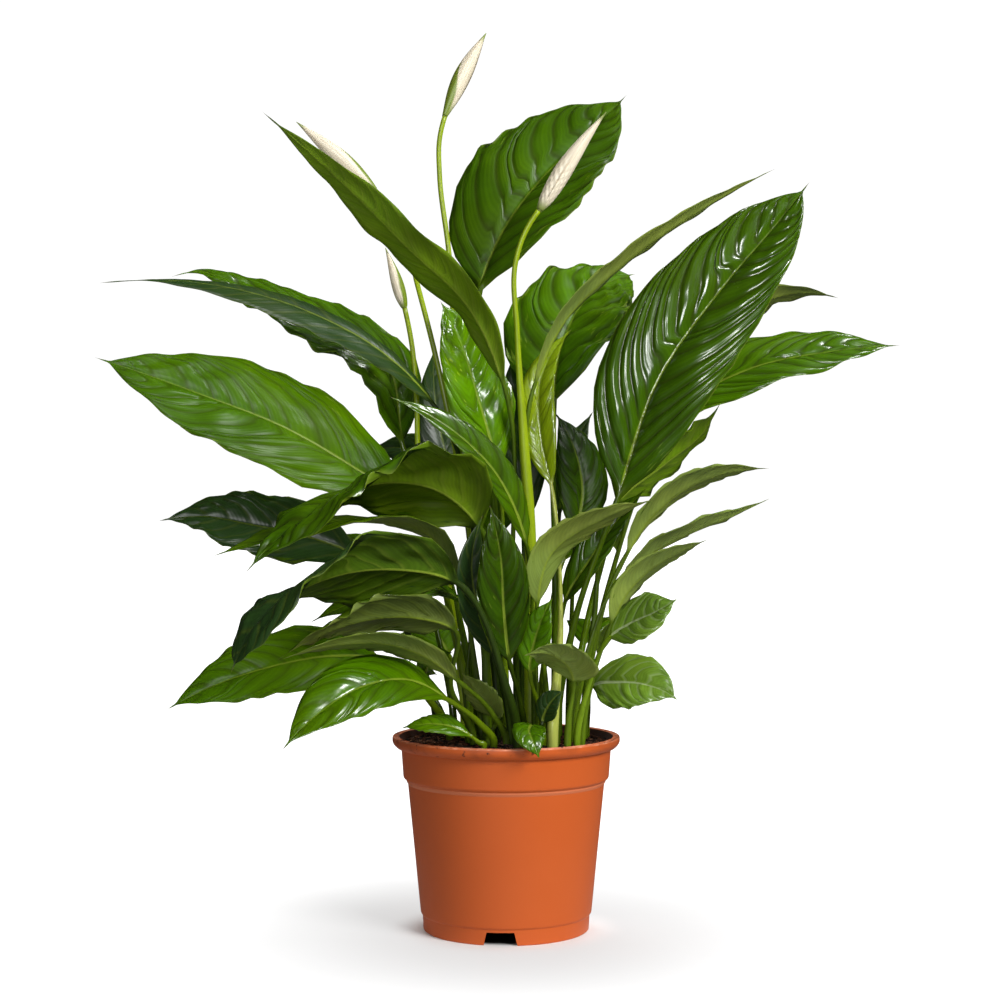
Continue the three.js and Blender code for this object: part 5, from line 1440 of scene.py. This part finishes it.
@dataclass
class Peat:
    """The peat that fills the pot, with loose crumbs, bark and fibres on top.

    gap is the room left to the pot's wall and base, and ANY_WAY a full turn in radians.
    """

    sides: int = 150
    rings: int = 60
    crumbs: int = 900
    crumb_sizes: tuple[float, ...] = (0.9, 1.2, 1.6, 2.4)
    tallest: float = 2.0
    fibres: int = 260
    gap: float = 0.35
    crisp_over: float = 60.0
    draw: random.Random = field(default_factory=lambda: random.Random(17))

    ANY_WAY = 6.3
    CRUMB_MARGIN = 3.5
    FIBRE_MARGIN = 6.0
    FIBRE_RINGS = 6
    FIBRE_SIDES = 4

    @property
    def edge(self) -> float:
        """The radius of its top, just clear of the pot."""
        return inner_radius(SOIL_LEVEL) - self.gap

    def height(self, x: np.ndarray, y: np.ndarray) -> np.ndarray:
        """The peat's height in millimetres: the solid's mound with finer lumps."""
        inward = 1 - (np.hypot(x, y) / self.edge) ** 2
        lumps = np.sin(0.13 * x + 1) * np.cos(0.11 * y) + 0.6 * np.sin(0.23 * y - 0.17 * x)
        fine = np.sin(0.71 * x + 2 * np.sin(0.4 * y)) * np.sin(0.63 * y + 1.7 * np.sin(0.5 * x))
        return SOIL_LEVEL + np.clip(inward, 0, 1) * (1.3 + 1.1 * lumps) + 0.7 * fine - 0.4

    def build(self, *finishes: bpy.types.Material) -> list[bpy.types.Object]:
        """Builds the block and what lies on it, each in its own finish."""
        layers = (self.block, self.crumb_layer, self.fibre_layer)
        return [layer(finish) for layer, finish in zip(layers, finishes)]

    def block(self, material: bpy.types.Material) -> bpy.types.Object:
        """A grid wrapped into a filled disc: floor, wall and lumpy top."""
        floor = BASE_PLATE + self.gap
        levels = [
            (0.0, floor), (inner_radius(BASE_PLATE) - 2.4, floor),
            (inner_radius(BASE_PLATE) - 0.4, BASE_PLATE + 2.4),
            (inner_radius(COLLAR_BOTTOM) - 0.4, COLLAR_BOTTOM),
            (inner_radius(COLLAR_BOTTOM + 4) - 0.4, COLLAR_BOTTOM + 5),
        ]
        rows = len(levels) + self.rings
        piece, column, row = sheet("peat_block", self.sides, rows)
        turn = 2 * np.pi * (column % self.sides) / self.sides
        top = row >= len(levels)
        ring = np.clip(row, 0, len(levels) - 1)
        share = np.clip((rows - row) / self.rings, 0, 1)
        radius = np.where(top, self.edge * share, np.array(levels)[ring, 0])
        x, y = radius * np.cos(turn), radius * np.sin(turn)
        z = np.where(top, self.height(x, y), np.array(levels)[ring, 1])
        move_to(piece, np.column_stack((x, y, z)) * MM)
        merge_doubles(piece, WELD)
        return smooth(dress(piece, material))

    def spot(self, margin: float) -> tuple[float, float, float]:
        """A random place on the peat."""
        radius = (inner_radius(SOIL_LEVEL) - margin) * math.sqrt(self.draw.random())
        turn = self.draw.uniform(0, 2 * math.pi)
        x, y = radius * math.cos(turn), radius * math.sin(turn)
        return x, y, float(self.height(np.array(x), np.array(y)))

    def crumb_layer(self, material: bpy.types.Material) -> bpy.types.Object:
        """Copies of one knobbly crumb, each turned, stretched and half sunk."""
        deselect()
        bpy.ops.mesh.primitive_ico_sphere_add(subdivisions=2, radius=1)
        piece = named("peat_crumbs")
        ball = coordinates(piece)
        knobs = 1 + 0.22 * np.sin(ball @ np.array((5.1, 3.3, 4.7)) + 1) * np.cos(ball[:, 1] * 6)
        ball *= knobs[:, None]
        faces = [tuple(p.vertices) for p in piece.data.polygons]
        points, joined = [], []
        for _ in range(self.crumbs):
            size = self.draw.choice(self.crumb_sizes)
            stretch = np.array([size * self.draw.uniform(0.6, 1.5) for _ in range(3)])
            stretch[2] = min(stretch[2], self.tallest)
            turn = self.draw.uniform(0, self.ANY_WAY)
            spin = np.array(((math.cos(turn), -math.sin(turn), 0),
                             (math.sin(turn), math.cos(turn), 0), (0, 0, 1)))
            start = len(points) * len(ball)
            points.append((ball * stretch) @ spin.T + np.array(self.spot(self.CRUMB_MARGIN)))
            joined.extend(tuple(i + start for i in face) for face in faces)
        piece.data.clear_geometry()
        piece.data.from_pydata((np.vstack(points) * MM).tolist(), [], joined)
        return smooth(dress(piece, material), self.crisp_over)

    def fibre_layer(self, material: bpy.types.Material) -> bpy.types.Object:
        """Thin bent fibres lying on the peat."""
        deselect()
        sides, rings = self.FIBRE_SIDES, self.FIBRE_RINGS
        bpy.ops.mesh.primitive_cylinder_add(vertices=sides, radius=1, depth=1)
        piece = named("peat_fibres")
        points, faces = [], []
        for _ in range(self.fibres):
            start = len(points)
            points.extend(self.fibre())
            for k in range(rings - 1):
                for q in range(sides):
                    a, b = start + sides * k + q, start + sides * k + (q + 1) % sides
                    faces.append((a, a + sides, b + sides, b))
            faces.append(tuple(range(start, start + sides)))
            faces.append(tuple(reversed(range(len(points) - sides, len(points)))))
        piece.data.clear_geometry()
        piece.data.from_pydata((np.array(points) * MM).tolist(), [], faces)
        return smooth(dress(piece, material))

    def fibre(self) -> list[Point]:
        """The points of one bent fibre, ring by ring."""
        x, y, z = self.spot(self.FIBRE_MARGIN)
        heading, bend = self.draw.uniform(0, self.ANY_WAY), self.draw.uniform(-1.2, 1.2)
        length, thick = self.draw.uniform(4, 12), self.draw.uniform(0.18, 0.4)
        points = []
        for k in range(self.FIBRE_RINGS):
            s = k / (self.FIBRE_RINGS - 1) - 0.5
            way = heading + bend * s
            px, py = x + length * s * math.cos(way), y + length * s * math.sin(way)
            pz = z + 0.9 + 0.8 * math.cos(3 * s + heading)
            for q in range(self.FIBRE_SIDES):
                a = q * 2 * math.pi / self.FIBRE_SIDES
                px_side = px - thick * math.cos(a) * math.sin(way)
                py_side = py + thick * math.cos(a) * math.cos(way)
                points.append((px_side, py_side, pz + thick * math.sin(a)))
        return points


# ---------------------------------------------------------------------- studio


@dataclass
class Studio:
    """The white floor, soft lights and camera of a catalogue picture."""

    camera_x: float = -4.57
    camera_distance: float = 1460.0
    camera_height: float = 320.0
    lens: float = 70.2
    sensor: float = 36.0
    sky: float = 0.14
    floor_size: float = 30.0

    def build(self) -> None:
        """Sets up everything round the plant."""
        self.floor()
        self.world()
        self.camera()
        self.light("key", (1.2, -1.4, 1.2), (0, 0, 0.3), 0.9, 54, mirrored=False)
        self.light("fill", (-0.5, -1.8, 0.45), (0, 0, 0.35), 1.2, 9, mirrored=False)
        self.light("top", (0.1, 0.8, 1.8), (0, 0, 0.35), 1.0, 24, mirrored=False)
        self.light("back", (-0.6, 1.8, 0.7), (0, 0, 0.35), 1.2, 12, mirrored=False)
        self.light("gleam_left", (-0.25, -1.7, 0.95), (0.1, 0, 0.45), 0.25, 28, lit=False)
        self.light("gleam_top", (0.75, -0.6, 1.6), (0, 0, 0.35), 0.35, 42, lit=False)

    def floor(self) -> None:
        """A wide white floor, glowing to melt into the background, with a painted pot shadow."""
        deselect()
        bpy.ops.mesh.primitive_plane_add(size=self.floor_size)
        floor = named("floor")
        bench = NodeBench("floor_white")
        x, y, _ = bench.split(bench.place())
        away = (x * x + y * y) ** 0.5
        # Painted shadow: the floor's glow to the camera is dimmed round the pot.
        shadow_halo = 1.0 - bench.step(away, 0.07, 0.35)
        # Painted shadow: the floor is nearly black under the pot.
        floor_shadow_paint = bench.mix(bench.step(away, 0.05, 0.062), (0.01, 0.01, 0.01), (0.85, 0.85, 0.85))
        matte = bench.signal(bench.node("ShaderNodeBsdfDiffuse", inputs={"Color": floor_shadow_paint}))
        rays = bench.node("ShaderNodeLightPath")
        seen, mirrored = bench.signal(rays, "Is Camera Ray"), bench.signal(rays, "Is Glossy Ray")
        level = seen * (1.02 - shadow_halo * 0.6) + 0.38 - mirrored * 0.3
        glow = bench.signal(bench.node("ShaderNodeEmission", inputs={"Strength": level}))
        share = bench.step(away, 0.058, 0.09) * 0.7 + bench.step(away, 0.1, 0.4) * 0.3
        dress(floor, bench.finish(bench.blend(share, matte, glow)))

    def world(self) -> None:
        """Plain white to the camera, and dimmer as a source of light."""
        world = bpy.data.worlds.new("white_room")
        bpy.context.scene.world = world
        world.use_nodes = True
        tree = world.node_tree
        back = tree.nodes["Background"]
        rays = tree.nodes.new("ShaderNodeLightPath")
        level = None
        for ray, strength in (("Is Glossy Ray", 0.15 * self.sky), ("Is Camera Ray", 1.05)):
            mix = tree.nodes.new("ShaderNodeMix")
            mix.inputs["A"].default_value = self.sky
            mix.inputs["B"].default_value = strength
            if level:
                tree.links.new(level, mix.inputs["A"])
            tree.links.new(rays.outputs[ray], mix.inputs["Factor"])
            level = mix.outputs["Result"]
        tree.links.new(level, back.inputs["Strength"])
        back.inputs["Color"].default_value = (1, 1, 1, 1)

    def light(self, name: str, place: Point, aim: Point, size: float, power: float,
              mirrored: bool = True, lit: bool = True) -> None:
        """Adds a square soft light.

        Args:
            name: Its name.
            place: Where it stands, in metres.
            aim: What it looks at.
            size: The length of its side.
            power: Its power in watts.
            mirrored: Whether glossy surfaces mirror it.
            lit: Whether it lights matte surfaces.
        """
        data = bpy.data.lights.new(name, "AREA")
        data.size = size
        data.energy = power
        lamp = bpy.data.objects.new(name, data)
        bpy.context.scene.collection.objects.link(lamp)
        lamp.visible_glossy = mirrored
        lamp.visible_diffuse = lamp.visible_transmission = lit
        lamp.location = place
        lamp.rotation_euler = (Vector(aim) - Vector(place)).to_track_quat("-Z", "Y").to_euler()

    def camera(self) -> None:
        """The level view of the photograph."""
        data = bpy.data.cameras.new("camera")
        data.lens = self.lens
        data.sensor_width = self.sensor
        camera = bpy.data.objects.new("camera", data)
        bpy.context.scene.collection.objects.link(camera)
        camera.location = (self.camera_x * MM, -self.camera_distance * MM, self.camera_height * MM)
        camera.rotation_euler = (math.pi / 2, 0, 0)
        bpy.context.scene.camera = camera
        bpy.context.scene.view_settings.view_transform = "Standard"


def main() -> None:
    """Builds the studio and every piece in order."""
    Studio().build()
    hand_over(Pot().build(PlasticFinish().material()), "pot")
    peat = PeatFinish("peat_damp").material()
    loose = PeatFinish("peat_loose", srgb(20, 12, 8), srgb(86, 50, 32), 150.0).material()
    strands = PeatFinish("peat_strands", srgb(58, 34, 24), srgb(150, 112, 84), 60.0).material()
    for piece in Peat().build(peat, loose, strands):
        hand_over(piece, "soil")
    faces = {}
    for leaf in LEAVES:
        kind = (leaf.tone, leaf.satin)
        if kind not in faces:
            faces[kind] = blade_materials(*kind)
        hand_over(leaf.build(*faces[kind]), leaf.name)
    green, cream = StalkFinish().material(), HoodFinish().material()
    for flower in FLOWERS:
        stalk, hood = flower.build(green, cream)
        hand_over(stalk, f"{flower.name}_stalk")
        hand_over(hood, f"{flower.name}_hood")


if __name__ == "__main__":
    main()
